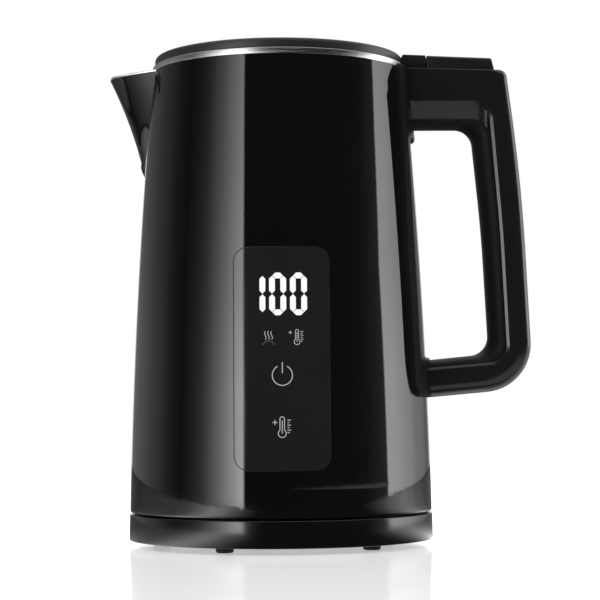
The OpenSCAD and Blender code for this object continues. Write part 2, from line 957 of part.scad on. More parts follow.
module indicator_leds() {
    color("#f7f3e0")
    for (x = [-led_x, led_x])
        on_front(led_z, front_board_depth - 1.9)
            translate([x - 1.6, 0, -1.4])
                cube([3.2, 1.9, 2.8]);
}

module touch_springs() {
    color("#b58b3c")
    for (z = touch_rows)
        on_front(z, front_board_depth)
            rotate([90, 0, 0])
                coil(3.2, 0.6, front_board_depth - panel_t - 0.5, 3);
}

// ---------- Handle ----------

// Outline of the mount strip in Y and Z
module mount_outline() {
    polygon(rounded([
        [[31, handle_top_z], 5], [[38.8, 143], 300], [[38, handle_bottom_z - 4.2], 9],
        [[-38, handle_bottom_z - 4.2], 9], [[-38.8, 143], 300], [[-31, handle_top_z], 5]
    ], 6));
}

module mount_window() {
    polygon(rounded([
        [[23.5, opening_top_z - 6], 6], [[28.2, opening_bottom_z - 2], 6],
        [[-28.2, opening_bottom_z - 2], 6], [[-23.5, opening_top_z - 6], 6]
    ], 6));
}

// Outer face of the mount strip, which the handle's arms meet
module mount_face() {
    body_solid(-mount_t, body_z, handle_top_z + 1);
}

module handle_mount() {
    color("#111214")
    difference() {
        intersection() {
            mount_face();
            rotate([90, 0, 90])
                linear_extrude(body_bottom_r + 10)
                    mount_outline();
        }
        body_solid(0, body_z, rim_z);
        inside_ring(fit_gap);
        rotate([90, 0, 90])
            linear_extrude(body_bottom_r + 20)
                mount_window();
        handle_screw_bores();
        ear_sweep(ear_half_w + move_gap, ear_sweep_r);
        ear_sweep(tail_half_w + 0.6, tail_root_r);
        open_tail(tail_half_w + 0.9);
    }
}

// Space of the lid's tail when the lid is fully open
module open_tail(half_w) {
    translate([hinge_x, 0, hinge_z])
        rotate([0, lid_open_deg, 0])
            translate([0, -half_w, tail_top - tail_t - move_gap])
                cube([tail_len + move_gap, 2 * half_w, tail_t + move_gap]);
}

// Corners of the finger opening: point, radius, move to the grip's edge, move to the side face
function opening_corners() = [
    [[arm_in_x, opening_bottom_z - 4.6], 0, [0, -grip_lift], [0, -grip_lift - band_bottom]],
    [[opening_x, opening_bottom_z], 9.5, [grip_round, -grip_lift],
        [grip_round + band_side, -grip_lift - band_bottom]],
    [[(opening_x + opening_top_x) / 2 + 1, (opening_bottom_z + opening_top_z) / 2 + 5], 700,
        [grip_round, 0], [grip_round + band_side, 0]],
    [[opening_top_x, opening_top_z], 9, [grip_round, grip_lift],
        [grip_round + band_side, grip_lift + band_top]],
    [[arm_in_x, opening_top_z], 0, [0, grip_lift], [0, grip_lift + band_top]]
];

// Corners of the handle's outer edge: point, radius, move to the side face
function outer_corners() = [
    [[arm_in_x, handle_top_z + 0.4], 0, [0, -1]],
    [[handle_top_reach, handle_top_z - 1.2], 4, [-handle_edge_r, -1]],
    [[(handle_top_reach + handle_reach) / 2 + 1.2,
        (handle_top_z + handle_bottom_z) / 2 + 22], 900, [-handle_edge_r, 0]],
    [[handle_reach, handle_bottom_z], handle_corner_r, [-handle_edge_r, handle_edge_r]],
    [[arm_in_x, handle_bottom_z - lower_arm_rise], 0, [0, handle_edge_r]]
];

// Share of a rounding that is used up at t, from 0 to 1 across it
function round_share(t) = 1 - sqrt(max(1 - t * t, 0));

// Full outline at one y, with shares of the outer, grip and band moves
function handle_ring(y, outer, grip, band, back) =
    let (outside = [for (c = outer_corners()) [c[0] + c[2] * outer, c[1]]])
    [for (p = rounded(concat(outside, opening_points(grip, band, back)), 7)) [p[0], y, p[1]]];

// Rounded points of the opening's edge
function opening_points(grip, band, back) =
    [for (c = opening_corners())
        let (away = [c[2][0] == 0 ? 0 : back, sign(c[2][1]) * back])
        [c[0] + c[2] * grip + (c[3] - c[2]) * band + away, c[1]]];

module handle_solid() {
    flat = handle_half_w - handle_edge_r;
    outer_rings = [for (i = [0 : loft_steps])
        let (t = i / loft_steps, y = flat + handle_edge_r * sin(90 * t))
        [y, round_share(sin(90 * t))]];
    share = round_share(max(grip_half_w - flat, 0) / handle_edge_r);
    half = concat(
        [[0, 0, 1, 0, grip_back], [grip_half_w, share, 1, 0, grip_back],
         [grip_half_w + 0.02, share, 1, 0, 0]],
        [for (r = outer_rings)
            if (r[0] > grip_half_w + 0.2)
                [r[0], r[1], 1, (r[0] - grip_half_w) / (handle_half_w - grip_half_w), 0]]
    );
    rings = concat(
        [for (i = [len(half) - 1 : -1 : 1])
            handle_ring(-half[i][0], half[i][1], half[i][2], half[i][3], half[i][4])],
        [for (h = half) if (h[0] > 0) handle_ring(h[0], h[1], h[2], h[3], h[4])]
    );
    loft(rings);
}

// Space that the ear's lower corner sweeps, and below it the tail's
module ear_sweep(half_w, r) {
    translate([hinge_x, 0, hinge_z])
        rotate([90, 0, 0])
            cylinder(r = r, h = 2 * half_w, center = true);
}

module handle_shell() {
    color("#0f1012")
    difference() {
        handle_solid();
        mount_face();
        ear_sweep(ear_half_w + move_gap, ear_sweep_r);
        ear_sweep(tail_half_w + 0.6, tail_sweep_r);
        translate([well_x, -ear_half_w - move_gap, well_z])
            cube([button_end + move_gap - well_x, 2 * (ear_half_w + move_gap), 30]);
        bracket_solid(fit_gap);
        handle_screw_bores();
    }
}

// Soft inner face of the grip
module handle_grip() {
    inner = [for (i = [-loft_steps : loft_steps])
        let (a = 90 * i / loft_steps) [grip_half_w * sin(a), round_share(abs(sin(a)))]];
    rings = [for (r = inner)
        [for (p = rounded(concat(
            opening_points(r[1], 0, 0),
            [for (i = [4 : -1 : 0]) opening_points(1, 0, grip_back)[i]]), 7))
            [p[0], r[0], p[1]]]];
    color("#1a1b1d")
    difference() {
        loft(rings);
        mount_face();
    }
}

module handle_screws() {
    color("#9a9a9a")
    handle_screw_places()
        screw(16);
}

// Two lugs on a bar, let into the upper arm
module bracket_solid(gap) {
    low = well_z - 4.2;
    side_plate_pair([
        [hinge_x - lug_r - gap, low - gap], [hinge_x + lug_r + gap, low - gap],
        [hinge_x + lug_r + gap, hinge_z], [hinge_x - lug_r - gap, hinge_z]
    ], lug_in - gap, lug_in + lug_t + gap);
    side_plate([
        [hinge_x - lug_r - gap, low - gap], [hinge_x + lug_r + gap, low - gap],
        [hinge_x + lug_r + gap, low + 2.4 + gap], [hinge_x - lug_r - gap, low + 2.4 + gap]
    ], lug_in + lug_t + gap);
}

module hinge_bracket() {
    color("#55585b")
    difference() {
        union() {
            bracket_solid(0);
            for (side = [-1, 1])
                translate([hinge_x, side * (lug_in + lug_t / 2), hinge_z])
                    rotate([90, 0, 0])
                        cylinder(r = lug_r, h = lug_t, center = true);
        }
        translate([hinge_x, 0, hinge_z])
            rotate([90, 0, 0])
                cylinder(r = pin_r, h = 40, center = true);
    }
}

module hinge_pin() {
    color("#b0b3b5")
    translate([hinge_x, 0, hinge_z])
        rotate([90, 0, 0])
            cylinder(r = pin_r, h = 2 * ear_half_w - 1.6, center = true);
}

module button_spring() {
    color("#c0c2c4")
    translate([spring_x, 0, well_z + 0.02])
        coil(spring_r, spring_wire, button_roof(spring_x) - well_z - 0.3, 6);
}

// ---------- Lid ----------

module lid_cover() {
    edge = 1.8;
    wall = 2;
    slot_x = hinge_x - lug_r - 0.35;
    color("#0d0e10")
    difference() {
        union() {
            rotate_extrude()
                polygon(concat(
                    [[lid_r - wall, lid_z], [lid_r, lid_z]],
                    [for (i = [0 : 5]) let (a = 90 * i / 5)
                        [lid_r - edge + edge * cos(a), lid_top - edge + edge * sin(a)]],
                    [[0, lid_top + lid_dome], [0, lid_top + lid_dome - wall],
                     [lid_r - wall, lid_top - wall]]
                ));
            difference() {
                union() {
                    side_plate(ear_points(), ear_half_w);
                    side_plate([
                        [hinge_x - 1.7, ear_bottom + 0.5], [hinge_x + 2.4, ear_bottom + 0.5],
                        [hinge_x + 4, hinge_z + tail_top], [hinge_x + tail_len, hinge_z + tail_top],
                        [hinge_x + tail_len, hinge_z + tail_top - tail_t],
                        [hinge_x + tail_root_x, hinge_z + tail_top - tail_t]
                    ], tail_half_w);
                }
                disc(lid_r - wall - 0.001, lid_z - 1, lid_top - wall);
                disc(lid_r - 3, lid_top - wall - 0.1, lid_top + 3);
            }
        }
        side_plate_pair([
            [slot_x, ear_bottom - 1], [hinge_x + 8, ear_bottom - 1],
            [hinge_x + 8, lid_top + 2], [slot_x, lid_top + 2]
        ], lug_in - 0.2, lug_in + lug_t + 0.2);
        translate([hinge_x, 0, hinge_z])
            rotate([90, 0, 0])
                cylinder(r = pin_r + run_gap, h = 40, center = true);
        inside_ring_low();
    }
}

// Keeps the ear off the ring
module inside_ring_low() {
    disc(body_top_r + move_gap, ring_top - 5, lid_z);
}

function ear_points() =
    rounded([
        [[lid_r - 4.5, lid_z], 0], [[body_top_r + 0.8, lid_z], 0],
        [[body_top_r + 1.2, ear_bottom], 0], [[hinge_x + ear_r, ear_bottom], 0.8],
        [[hinge_x + ear_r, ear_top], 2], [[lid_r - 4.5, lid_top], 0]
    ], 5);

module lid_liner() {
    wall = 1.2;
    low = ring_top - plug_depth;
    top = lid_top - 2.3;
    color("#c4c6c8")
    difference() {
        rotate_extrude()
            polygon([
                [0, low], [plug_r - 3, low], [plug_r - 0.9, low + 0.9], [plug_r, low + 3],
                [plug_r, top], [plug_r - wall, top], [plug_r - wall, low + 3.2],
                [plug_r - 3.2, low + wall], [0, low + wall]
            ]);
        tube(plug_r + 1, plug_r - 0.4, low + 4, low + 7);
    }
}

module lid_gasket() {
    low = ring_top - plug_depth;
    r = plug_r - 0.4;
    color("#3a3c3e")
    rotate_extrude()
        polygon([
            [r, low + 4.05], [plug_r + 0.5, low + 4.05], [plug_r + 1.1, low + 6.4],
            [plug_r + 0.6, low + 6.6], [plug_r + 0.2, low + 5.2], [plug_r + 0.2, low + 6.95],
            [r, low + 6.95]
        ]);
}

lid_screw_r = 49;

module lid_screw_places() {
    for (a = [60, 180, 300])
        rotate([0, 0, a])
            translate([lid_screw_r, 0, 0])
                children();
}

// Ring that carries the liner under the cover, with bosses for its screws
module lid_frame() {
    z1 = lid_top - 2.25;
    color("#202123")
    difference() {
        union() {
            tube(lid_r - 2.05, plug_r + 0.05, lid_z + 0.1, z1);
            tube(plug_r - 1.25, lid_screw_r - 4, lid_z, z1);
            tube(lid_r - 2.05, lid_screw_r - 4, z1 - 0.001, lid_top - 2.02);
        }
        lid_screw_places()
            disc(screw_r, lid_z - 1, z1 - 0.4);
    }
}

module lid_screws() {
    color("#9a9a9a")
    lid_screw_places()
        translate([0, 0, lid_z])
            mirror([0, 0, 1]) {
                cylinder(r = screw_head_r, h = 0.9);
                translate([0, 0, -lid_edge_h + 2.7])
                    cylinder(r = screw_r, h = lid_edge_h - 2.7);
            }
}

// ---------- Button and catch ----------

// Height of the button's roof at x
function button_roof(x) =
    button_top - roof_t - button_fall * (x - button_x) / (button_end - 1.3 - button_x);

module lid_button() {
    w = button_wall;
    slant = 1.3;
    color("#101113")
    union() {
        difference() {
            intersection() {
                side_plate(rounded([
                    [[button_x, button_low], 0], [[button_x, button_top], 1],
                    [[button_end - slant, button_top - button_fall], 1],
                    [[button_end, handle_top_z - 1.4], 0], [[button_end, button_low], 0]
                ], 4), ear_half_w);
                rotate([90, 0, 90])
                    linear_extrude(button_end + 10)
                        polygon(rounded([
                            [[-ear_half_w, button_low - 1], 0], [[-ear_half_w, button_top], 1.2],
                            [[ear_half_w, button_top], 1.2], [[ear_half_w, button_low - 1], 0]
                        ], 4));
            }
            side_plate([
                [button_x + w, button_low - 1], [button_x + w, button_roof(button_x + w)],
                [button_end - slant - w, button_roof(button_end - slant - w)],
                [button_end - w, handle_top_z - 1.4], [button_end - w, button_low - 1]
            ], ear_half_w - w);
            translate([button_x - 1, -tail_half_w - 0.5, button_low - 1])
                cube([w + 2, 2 * tail_half_w + 1,
                    hinge_z + tail_top + button_travel + move_gap - button_low + 1]);
        }
        side_plate([
            [wedge_x - wedge_w / 2, wedge_z], [wedge_x + wedge_w / 2, wedge_z],
            [wedge_x + wedge_w / 2 + 7.6, wedge_z + 7.6], [wedge_x - wedge_w / 2 + 7.6, wedge_z + 7.6]
        ], 2.5);
    }
}

module lid_catch() {
    w = wedge_w / 2 + move_gap;
    low = catch_z - 1;
    color("#d0cdc4")
    difference() {
        side_plate([
            [button_x - 1, catch_z], [catch_end, catch_z], [catch_end, catch_z + 5.8],
            [wedge_x - 3, catch_z + 5.8], [wedge_x - 5, catch_z + catch_t],
            [button_x - 1, catch_z + catch_t]
        ], tail_half_w);
        ear_sweep(tail_half_w + 1, catch_r);
        side_plate([
            [wedge_x - w - wedge_z + low, low], [wedge_x + w - wedge_z + low, low],
            [wedge_x + w + 5, wedge_z + 5], [wedge_x - w + 5, wedge_z + 5]
        ], 2.5 + move_gap);
    }
}

// ---------- Assembly ----------

base_cover();
base_plate();
base_socket();
base_contacts();
base_feet();
base_screws();
cord_gland();
coupler();
outer_shell();
inner_vessel();
rim_ring();
spout_liner();
spout_filter();
heater_plate();
heating_element();
boil_control();
temperature_sensor();
bottom_cover();
bottom_screws();
control_board();
power_relay();
display_cable();
control_panel();
display_board();
led_display();
indicator_leds();
touch_springs();
handle_mount();
handle_shell();
handle_grip();
handle_screws();
hinge_bracket();
hinge_pin();
button_spring();
lid_cover();
lid_liner();
lid_gasket();
lid_frame();
lid_screws();
lid_button();
lid_catch();
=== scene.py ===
"""Looks of the cordless electric kettle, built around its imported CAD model."""
import math

import bmesh
import bpy
from mathutils import Matrix, Vector

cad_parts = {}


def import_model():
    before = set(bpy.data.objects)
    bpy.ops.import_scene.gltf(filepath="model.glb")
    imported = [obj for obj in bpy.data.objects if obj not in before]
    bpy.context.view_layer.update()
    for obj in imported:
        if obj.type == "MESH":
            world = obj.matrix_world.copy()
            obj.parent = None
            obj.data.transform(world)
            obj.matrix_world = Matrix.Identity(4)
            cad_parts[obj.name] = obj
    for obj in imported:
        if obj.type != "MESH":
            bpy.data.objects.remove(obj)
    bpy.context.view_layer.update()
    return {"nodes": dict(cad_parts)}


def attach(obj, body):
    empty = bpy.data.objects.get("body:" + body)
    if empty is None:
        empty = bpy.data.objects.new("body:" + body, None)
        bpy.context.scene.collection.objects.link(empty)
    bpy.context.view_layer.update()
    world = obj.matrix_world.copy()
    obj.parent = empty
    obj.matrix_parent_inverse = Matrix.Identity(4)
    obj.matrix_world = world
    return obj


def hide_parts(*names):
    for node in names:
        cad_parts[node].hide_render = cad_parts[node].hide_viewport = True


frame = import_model()
nodes = frame["nodes"]

MM = 0.001
# vertices nearer than this are one, in mm; the wider one is for spun sectors
SAME_PLACE, SAME_ROW = 1e-4, 0.01

# ---------- Sizes in millimetres, as in the CAD source ----------

BASE_R, BASE_TOP_R, BASE_H, FOOT_H = 75.0, 74.74, 15.8, 3.0
BODY_Z, BODY_H = 16.6, 217.6
BODY_LOW_R, BODY_TOP_R, BODY_BOW = 74.55, 63.05, 1.9
RIM_Z = BODY_Z + BODY_H
RING_TOP = RIM_Z + 2.9
VESSEL_TOP_R, VESSEL_LOW_R = 58.8, 60.6

SPOUT_REACH, SPOUT_H, SPOUT_LEAN = 84.8, 53.0, 0.215
SPOUT_HALF_W, SPOUT_NOSE_R, SPOUT_SWELL, NOSE_PULL = 17.4, 3.4, 0.34, 1.65
SPOUT_WALL, LIP_T, ROOT_DEPTH = 1.9, 0.8, 0.8
LIP_SLOPE = math.tan(math.radians(4.1))
LIP_X, LIP_Z = -BODY_TOP_R - 1.55, RIM_Z + 0.1
TIP_X, TIP_RUN, TIP_DROP = -SPOUT_REACH + 1.1, 4.0, 2.6
SPOUT_Z = RIM_Z + 1 - SPOUT_H
SPOUT_STEPS, SPOUT_ROWS, LINER_ROWS, LINER_DEPTH = 40, 64, 24, 41
MOUTH_FOOT, MOUTH_INSET, MOUTH_CUTS, MOUTH_LAND = 6, 1.0, 12, 0.2
SHEET_T = 1.7

HANDLE_TOP_Z, HANDLE_TOP_REACH, HANDLE_REACH = 235.8, 113.2, 125.0
HANDLE_LOW_Z, ARM_RISE, HANDLE_CORNER_R = 76.6, 6.0, 24.0
HANDLE_HALF_W, GRIP_HALF_W, GRIP_T = 15.5, 12.0, 21.0
OPEN_TOP_Z, OPEN_LOW_Z = 206.2, 93.6
GRIP_ROUND, HANDLE_EDGE_R, GRIP_LIFT, GRIP_BACK = 7.8, 5.5, 3.8, 2.5
BAND_SIDE, BAND_TOP, BAND_LOW, CHAMFER_T = 1.4, 8.7, 1.2, 0.55
ARM_IN_X = BODY_TOP_R - 7
OPEN_X = HANDLE_REACH - GRIP_T
OPEN_TOP_X = HANDLE_TOP_REACH - GRIP_T + 3.7
MOUNT_T, STRIP_MATT_SHARE = 2.2, 0.6

LID_R, LID_Z, LID_EDGE_H, LID_DOME = 61.9, RING_TOP + 0.3, 4.6, 1.2
LID_TOP = LID_Z + LID_EDGE_H
EAR_HALF_W, EAR_R, EAR_TOP = 12.0, 3.3, LID_TOP - 0.2
HINGE_X, HINGE_Z = BODY_TOP_R + 6.65, EAR_TOP - EAR_R + 0.1
EAR_LOW = HANDLE_TOP_Z + 0.35
LUG_R, LUG_IN, LUG_T = 2.05, 7.2, 3.0
TAIL_HALF_W, TAIL_LEN, TAIL_TOP, TAIL_T, TAIL_ROOT_X = 4.0, 9.3, -3.2, 2.0, 1.4
TAIL_SWEEP_R = math.hypot(TAIL_LEN, TAIL_TOP - TAIL_T) + 0.3
WELL_Z, WELL_X = HINGE_Z - TAIL_SWEEP_R + 0.35, HINGE_X + EAR_R + 0.7
BUTTON_X, BUTTON_LEN = WELL_X + 0.25, 31.0
BUTTON_END, BUTTON_FALL = BUTTON_X + BUTTON_LEN + 1.6, 1.3
BUTTON_LOW = WELL_Z + 3.3

PANEL_HALF_W, PANEL_Z, PANEL_H, PANEL_CORNER_R = 22.05, 39.0, 103.0, 6.5
PANEL_TOP = PANEL_Z + PANEL_H
DIGIT_H, DIGIT_W, SEGMENT_W, DIGIT_PITCH = 19.8, 7.9, 2.7, 9.65
DIGIT_X, DIGIT_Z = 7.85, PANEL_Z + 71.35 + DIGIT_H / 2
STROKE_RISE, DOT_HALF = 0.12, 0.12


def wall_r(z):
    """Radius of the kettle's outer wall at height z."""
    t = (z - BODY_Z) / BODY_H
    return BODY_LOW_R + (BODY_TOP_R - BODY_LOW_R) * t + 4 * BODY_BOW * t * (1 - t)


def smooth(t):
    """Eases t from 0 to 1."""
    t = min(max(t, 0.0), 1.0)
    return t * t * (3 - 2 * t)


# ---------- Materials ----------

class Nodes:
    """A new material's node tree, with short calls for what the finishes need."""

    def __init__(self, name):
        self.material = bpy.data.materials.new(name)
        self.material.use_nodes = True
        self.tree = self.material.node_tree
        self.shader = self.tree.nodes["Principled BSDF"]
        self.place = self.add("ShaderNodeTexCoord").outputs["Object"]

    def add(self, kind, **values):
        node = self.tree.nodes.new(kind)
        for key, value in values.items():
            setattr(node, key, value)
        return node

    def link(self, source, target):
        self.tree.links.new(source, target)

    def noise(self, scale, detail=3.0, stretch=None, source=None):
        """Noise over the piece, one to scale cells a metre."""
        place = source or self.place
        if stretch:
            mapping = self.add("ShaderNodeMapping")
            mapping.inputs["Scale"].default_value = stretch
            self.link(place, mapping.inputs["Vector"])
            place = mapping.outputs["Vector"]
        node = self.add("ShaderNodeTexNoise")
        node.inputs["Scale"].default_value = scale
        node.inputs["Detail"].default_value = detail
        self.link(place, node.inputs["Vector"])
        return node.outputs["Fac"]

    def spread(self, source, low, high):
        """Source from its middle range to low and high."""
        node = self.add("ShaderNodeMapRange")
        node.inputs["From Min"].default_value = 0.3
        node.inputs["From Max"].default_value = 0.7
        node.inputs["To Min"].default_value = low
        node.inputs["To Max"].default_value = high
        self.link(source, node.inputs["Value"])
        return node.outputs["Result"]

    def tint(self, source, low, high):
        """Colour between two, by source."""
        node = self.add("ShaderNodeMix", data_type="RGBA")
        node.inputs[6].default_value = (*low, 1)
        node.inputs[7].default_value = (*high, 1)
        self.link(source, node.inputs["Factor"])
        return node.outputs[2]

    def bump(self, source, height):
        """Raises the surface by source, height metres at most."""
        node = self.add("ShaderNodeBump")
        node.inputs["Strength"].default_value = 1.0
        node.inputs["Distance"].default_value = height
        self.link(source, node.inputs["Height"])
        self.link(node.outputs["Normal"], self.shader.inputs["Normal"])

    def turned(self):
        """Angle round the axis, distance from it, and height, as a vector."""
        parts = self.add("ShaderNodeSeparateXYZ")
        self.link(self.place, parts.inputs[0])
        angle = self.add("ShaderNodeMath", operation="ARCTAN2")
        self.link(parts.outputs["Y"], angle.inputs[0])
        self.link(parts.outputs["X"], angle.inputs[1])
        square_x = self.add("ShaderNodeMath", operation="MULTIPLY")
        square_y = self.add("ShaderNodeMath", operation="MULTIPLY")
        for axis, square in (("X", square_x), ("Y", square_y)):
            self.link(parts.outputs[axis], square.inputs[0])
            self.link(parts.outputs[axis], square.inputs[1])
        total = self.add("ShaderNodeMath", operation="ADD")
        self.link(square_x.outputs[0], total.inputs[0])
        self.link(square_y.outputs[0], total.inputs[1])
        reach = self.add("ShaderNodeMath", operation="SQRT")
        self.link(total.outputs[0], reach.inputs[0])
        joined = self.add("ShaderNodeCombineXYZ")
        self.link(angle.outputs[0], joined.inputs["X"])
        self.link(reach.outputs[0], joined.inputs["Y"])
        self.link(parts.outputs["Z"], joined.inputs["Z"])
        return joined.outputs[0]


def set_shader(made, **values):
    for key, value in values.items():
        made.shader.inputs[key.replace("_", " ")].default_value = value


def lacquer(name, colour, roughness, ripple=4e-6):
    """Sprayed gloss paint: clear and even, with a faint ripple."""
    made = Nodes(name)
    set_shader(made, IOR=1.5)
    patches = made.noise(18, 2)
    high = tuple(c * 1.25 for c in colour)
    made.link(made.tint(patches, colour, high), made.shader.inputs["Base Color"])
    made.link(made.spread(made.noise(55, 4), roughness * 0.8, roughness * 1.3),
              made.shader.inputs["Roughness"])
    made.bump(made.noise(420, 2), ripple)
    return made.material


def moulded(name, colour, roughness, grain=900, depth=1.2e-5, ior=1.5):
    """Moulded plastic with a fine spark-eroded grain."""
    made = Nodes(name)
    set_shader(made, IOR=ior)
    high = tuple(min(c * 1.12, 1) for c in colour)
    made.link(made.tint(made.noise(35, 3), colour, high), made.shader.inputs["Base Color"])
    made.link(made.spread(made.noise(160, 4), roughness * 0.94, roughness * 1.06),
              made.shader.inputs["Roughness"])
    made.bump(made.noise(grain, 2), depth)
    return made.material


def rubbery(name, colour):
    """Matt rubber or silicone."""
    return moulded(name, colour, 0.62, 700, 3e-5)


def steel(name, colour, roughness, brushed=None, depth=2e-6, drawn=0.0):
    """Steel, plain or brushed along "x", "y", "z" or "round" the axis."""
    made = Nodes(name)
    set_shader(made, Metallic=1.0, Anisotropic=drawn)
    if drawn:
        tangent = made.add("ShaderNodeTangent", direction_type="RADIAL", axis="Z")
        made.link(tangent.outputs[0], made.shader.inputs["Tangent"])
    stretch = {"x": (0.02, 1, 1), "y": (1, 0.02, 1), "z": (1, 1, 0.02),
               "round": (0.0012, 1, 1), None: (1, 1, 1)}[brushed]
    source = made.turned() if brushed == "round" else None
    lines = made.noise(2600 if brushed else 300, 3, stretch, source)
    low = tuple(c * 0.9 for c in colour)
    made.link(made.tint(lines, low, colour), made.shader.inputs["Base Color"])
    made.link(made.spread(lines, roughness * 0.8, roughness * 1.25),
              made.shader.inputs["Roughness"])
    made.bump(lines, depth)
    return made.material


def circuit_board(name, colour):
    """Green board with faint copper tracks under its mask."""
    made = Nodes(name)
    tracks = made.add("ShaderNodeTexBrick")
    tracks.inputs["Scale"].default_value = 260
    tracks.inputs["Mortar Size"].default_value = 0.08
    tracks.inputs["Color1"].default_value = (*colour, 1)
    tracks.inputs["Color2"].default_value = (colour[0] * 0.8, colour[1] * 0.8, colour[2] * 0.8, 1)
    tracks.inputs["Mortar"].default_value = (colour[0] * 1.8, colour[1] * 1.5, colour[2] * 1.4, 1)
    made.link(made.place, tracks.inputs["Vector"])
    made.link(tracks.outputs["Color"], made.shader.inputs["Base Color"])
    made.link(made.spread(made.noise(200, 3), 0.3, 0.45), made.shader.inputs["Roughness"])
    return made.material


def lit(name, colour, strength):
    """Back-lit diffuser film, a little uneven."""
    made = Nodes(name)
    made.link(made.tint(made.noise(260, 2), tuple(c * 0.97 for c in colour), colour),
              made.shader.inputs["Emission Color"])
    made.link(made.spread(made.noise(400, 2), 0.35, 0.45), made.shader.inputs["Roughness"])
    set_shader(made, Emission_Strength=strength)
    made.shader.inputs["Base Color"].default_value = (0.02, 0.02, 0.02, 1)
    return made.material


SHELL_BLACK = lacquer("shell_black_lacquer", (0.0034, 0.0034, 0.0037), 0.035)
BASE_BLACK = lacquer("base_black_gloss", (0.0036, 0.0036, 0.004), 0.14)
LID_BLACK = moulded("lid_black_satin", (0.012, 0.012, 0.0125), 0.42, 700, 3e-6)
HANDLE_BLACK = moulded("handle_black_satin", (0.0078, 0.0078, 0.0083), 0.2, 900, 3e-6)
GRIP_BLACK = moulded("grip_black_matt", (0.008, 0.008, 0.0085), 0.5, 800, 1e-5, 1.2)
MOUNT_BLACK = moulded("mount_black_matt", (0.0062, 0.0062, 0.0066), 0.5, 800, 8e-6, 1.12)
BUTTON_BLACK = moulded("button_black_satin", (0.009, 0.009, 0.0095), 0.3, 900, 6e-6)
PANEL_SMOKE = lacquer("panel_smoked_glass", (0.0115, 0.0115, 0.0122), 0.06, 1e-6)
# painted shade: a near-black matt band in place of the shaded groove round the front panel
GROOVE_SHADE_BLACK = moulded("panel_groove_painted_shade", (0.002, 0.002, 0.002), 0.7)
UNDER_BLACK = moulded("under_black_plastic", (0.012, 0.012, 0.0125), 0.45)
SOCKET_GREY = moulded("socket_grey_plastic", (0.03, 0.03, 0.033), 0.4)
FOOT_RUBBER = rubbery("foot_rubber", (0.012, 0.012, 0.012))
GLAND_RUBBER = rubbery("gland_rubber", (0.01, 0.01, 0.01))
GASKET_SILICONE = rubbery("gasket_silicone_grey", (0.12, 0.12, 0.125))
RING_STEEL = steel("ring_turned_steel", (0.74, 0.74, 0.75), 0.22, "round", 4e-7, 0.9)
LINER_STEEL = steel("liner_polished_steel", (0.68, 0.68, 0.69), 0.16, "z", 6e-7)
VESSEL_STEEL = steel("vessel_brushed_steel", (0.6, 0.6, 0.6), 0.26, "round")
FILTER_STEEL = steel("filter_etched_steel", (0.55, 0.55, 0.56), 0.3)
SCREW_STEEL = steel("screw_zinc_steel", (0.6, 0.6, 0.6), 0.3)
BRACKET_STEEL = steel("bracket_dark_steel", (0.3, 0.3, 0.31), 0.38, "z")
BRASS = steel("contact_brass", (0.78, 0.58, 0.27), 0.28)
ALUMINIUM = steel("plate_cast_aluminium", (0.68, 0.68, 0.68), 0.42)
ELEMENT_STEEL = steel("element_heat_tinted_steel", (0.4, 0.38, 0.36), 0.4)
IVORY = moulded("control_ivory_plastic", (0.7, 0.66, 0.55), 0.4)
CATCH_GREY = moulded("catch_acetal_grey", (0.55, 0.53, 0.48), 0.35)
BOARD_GREEN = circuit_board("board_green_mask", (0.02, 0.12, 0.05))
RELAY_BLUE = moulded("relay_blue_case", (0.03, 0.12, 0.35), 0.35)
CABLE_GREY = moulded("ribbon_cable_grey", (0.4, 0.4, 0.41), 0.5)
DISPLAY_WHITE = lit("digits_lit_white", (0.94, 0.97, 1.0), 1.05)
ICON_WHITE = lit("icons_lit_grey", (0.62, 0.64, 0.66), 0.62)
LED_WHITE = lit("led_phosphor_white", (0.9, 0.9, 0.8), 0.25)

NODE_FINISH = {
    "base_cover": BASE_BLACK, "base_plate": UNDER_BLACK, "base_socket": SOCKET_GREY,
    "base_contacts": BRASS, "base_feet": FOOT_RUBBER, "base_screws": SCREW_STEEL,
    "cord_gland": GLAND_RUBBER, "coupler": IVORY, "outer_shell": SHELL_BLACK,
    "inner_vessel": VESSEL_STEEL, "rim_ring": RING_STEEL, "spout_liner": LINER_STEEL,
    "spout_filter": FILTER_STEEL, "heater_plate": ALUMINIUM, "heating_element": ELEMENT_STEEL,
    "boil_control": IVORY, "temperature_sensor": SCREW_STEEL, "bottom_cover": UNDER_BLACK,
    "bottom_screws": SCREW_STEEL, "control_board": BOARD_GREEN, "power_relay": RELAY_BLUE,
    "display_cable": CABLE_GREY, "control_panel": PANEL_SMOKE, "display_board": BOARD_GREEN,
    "led_display": LED_WHITE, "indicator_leds": LED_WHITE, "touch_springs": BRASS,
    "handle_mount": HANDLE_BLACK, "handle_shell": HANDLE_BLACK, "handle_grip": GRIP_BLACK,
    "handle_screws": SCREW_STEEL, "hinge_bracket": BRACKET_STEEL, "hinge_pin": SCREW_STEEL,
    "button_spring": SCREW_STEEL, "lid_cover": LID_BLACK, "lid_liner": LINER_STEEL,
    "lid_gasket": GASKET_SILICONE, "lid_frame": UNDER_BLACK, "lid_screws": SCREW_STEEL,
    "lid_button": BUTTON_BLACK, "lid_catch": CATCH_GREY,
}
for node_name, finish in NODE_FINISH.items():
    slots = nodes[node_name].material_slots
    if slots:
        for material_slot in slots:
            material_slot.material = finish
    else:
        nodes[node_name].data.materials.append(finish)


# ---------- Modelling helpers ----------

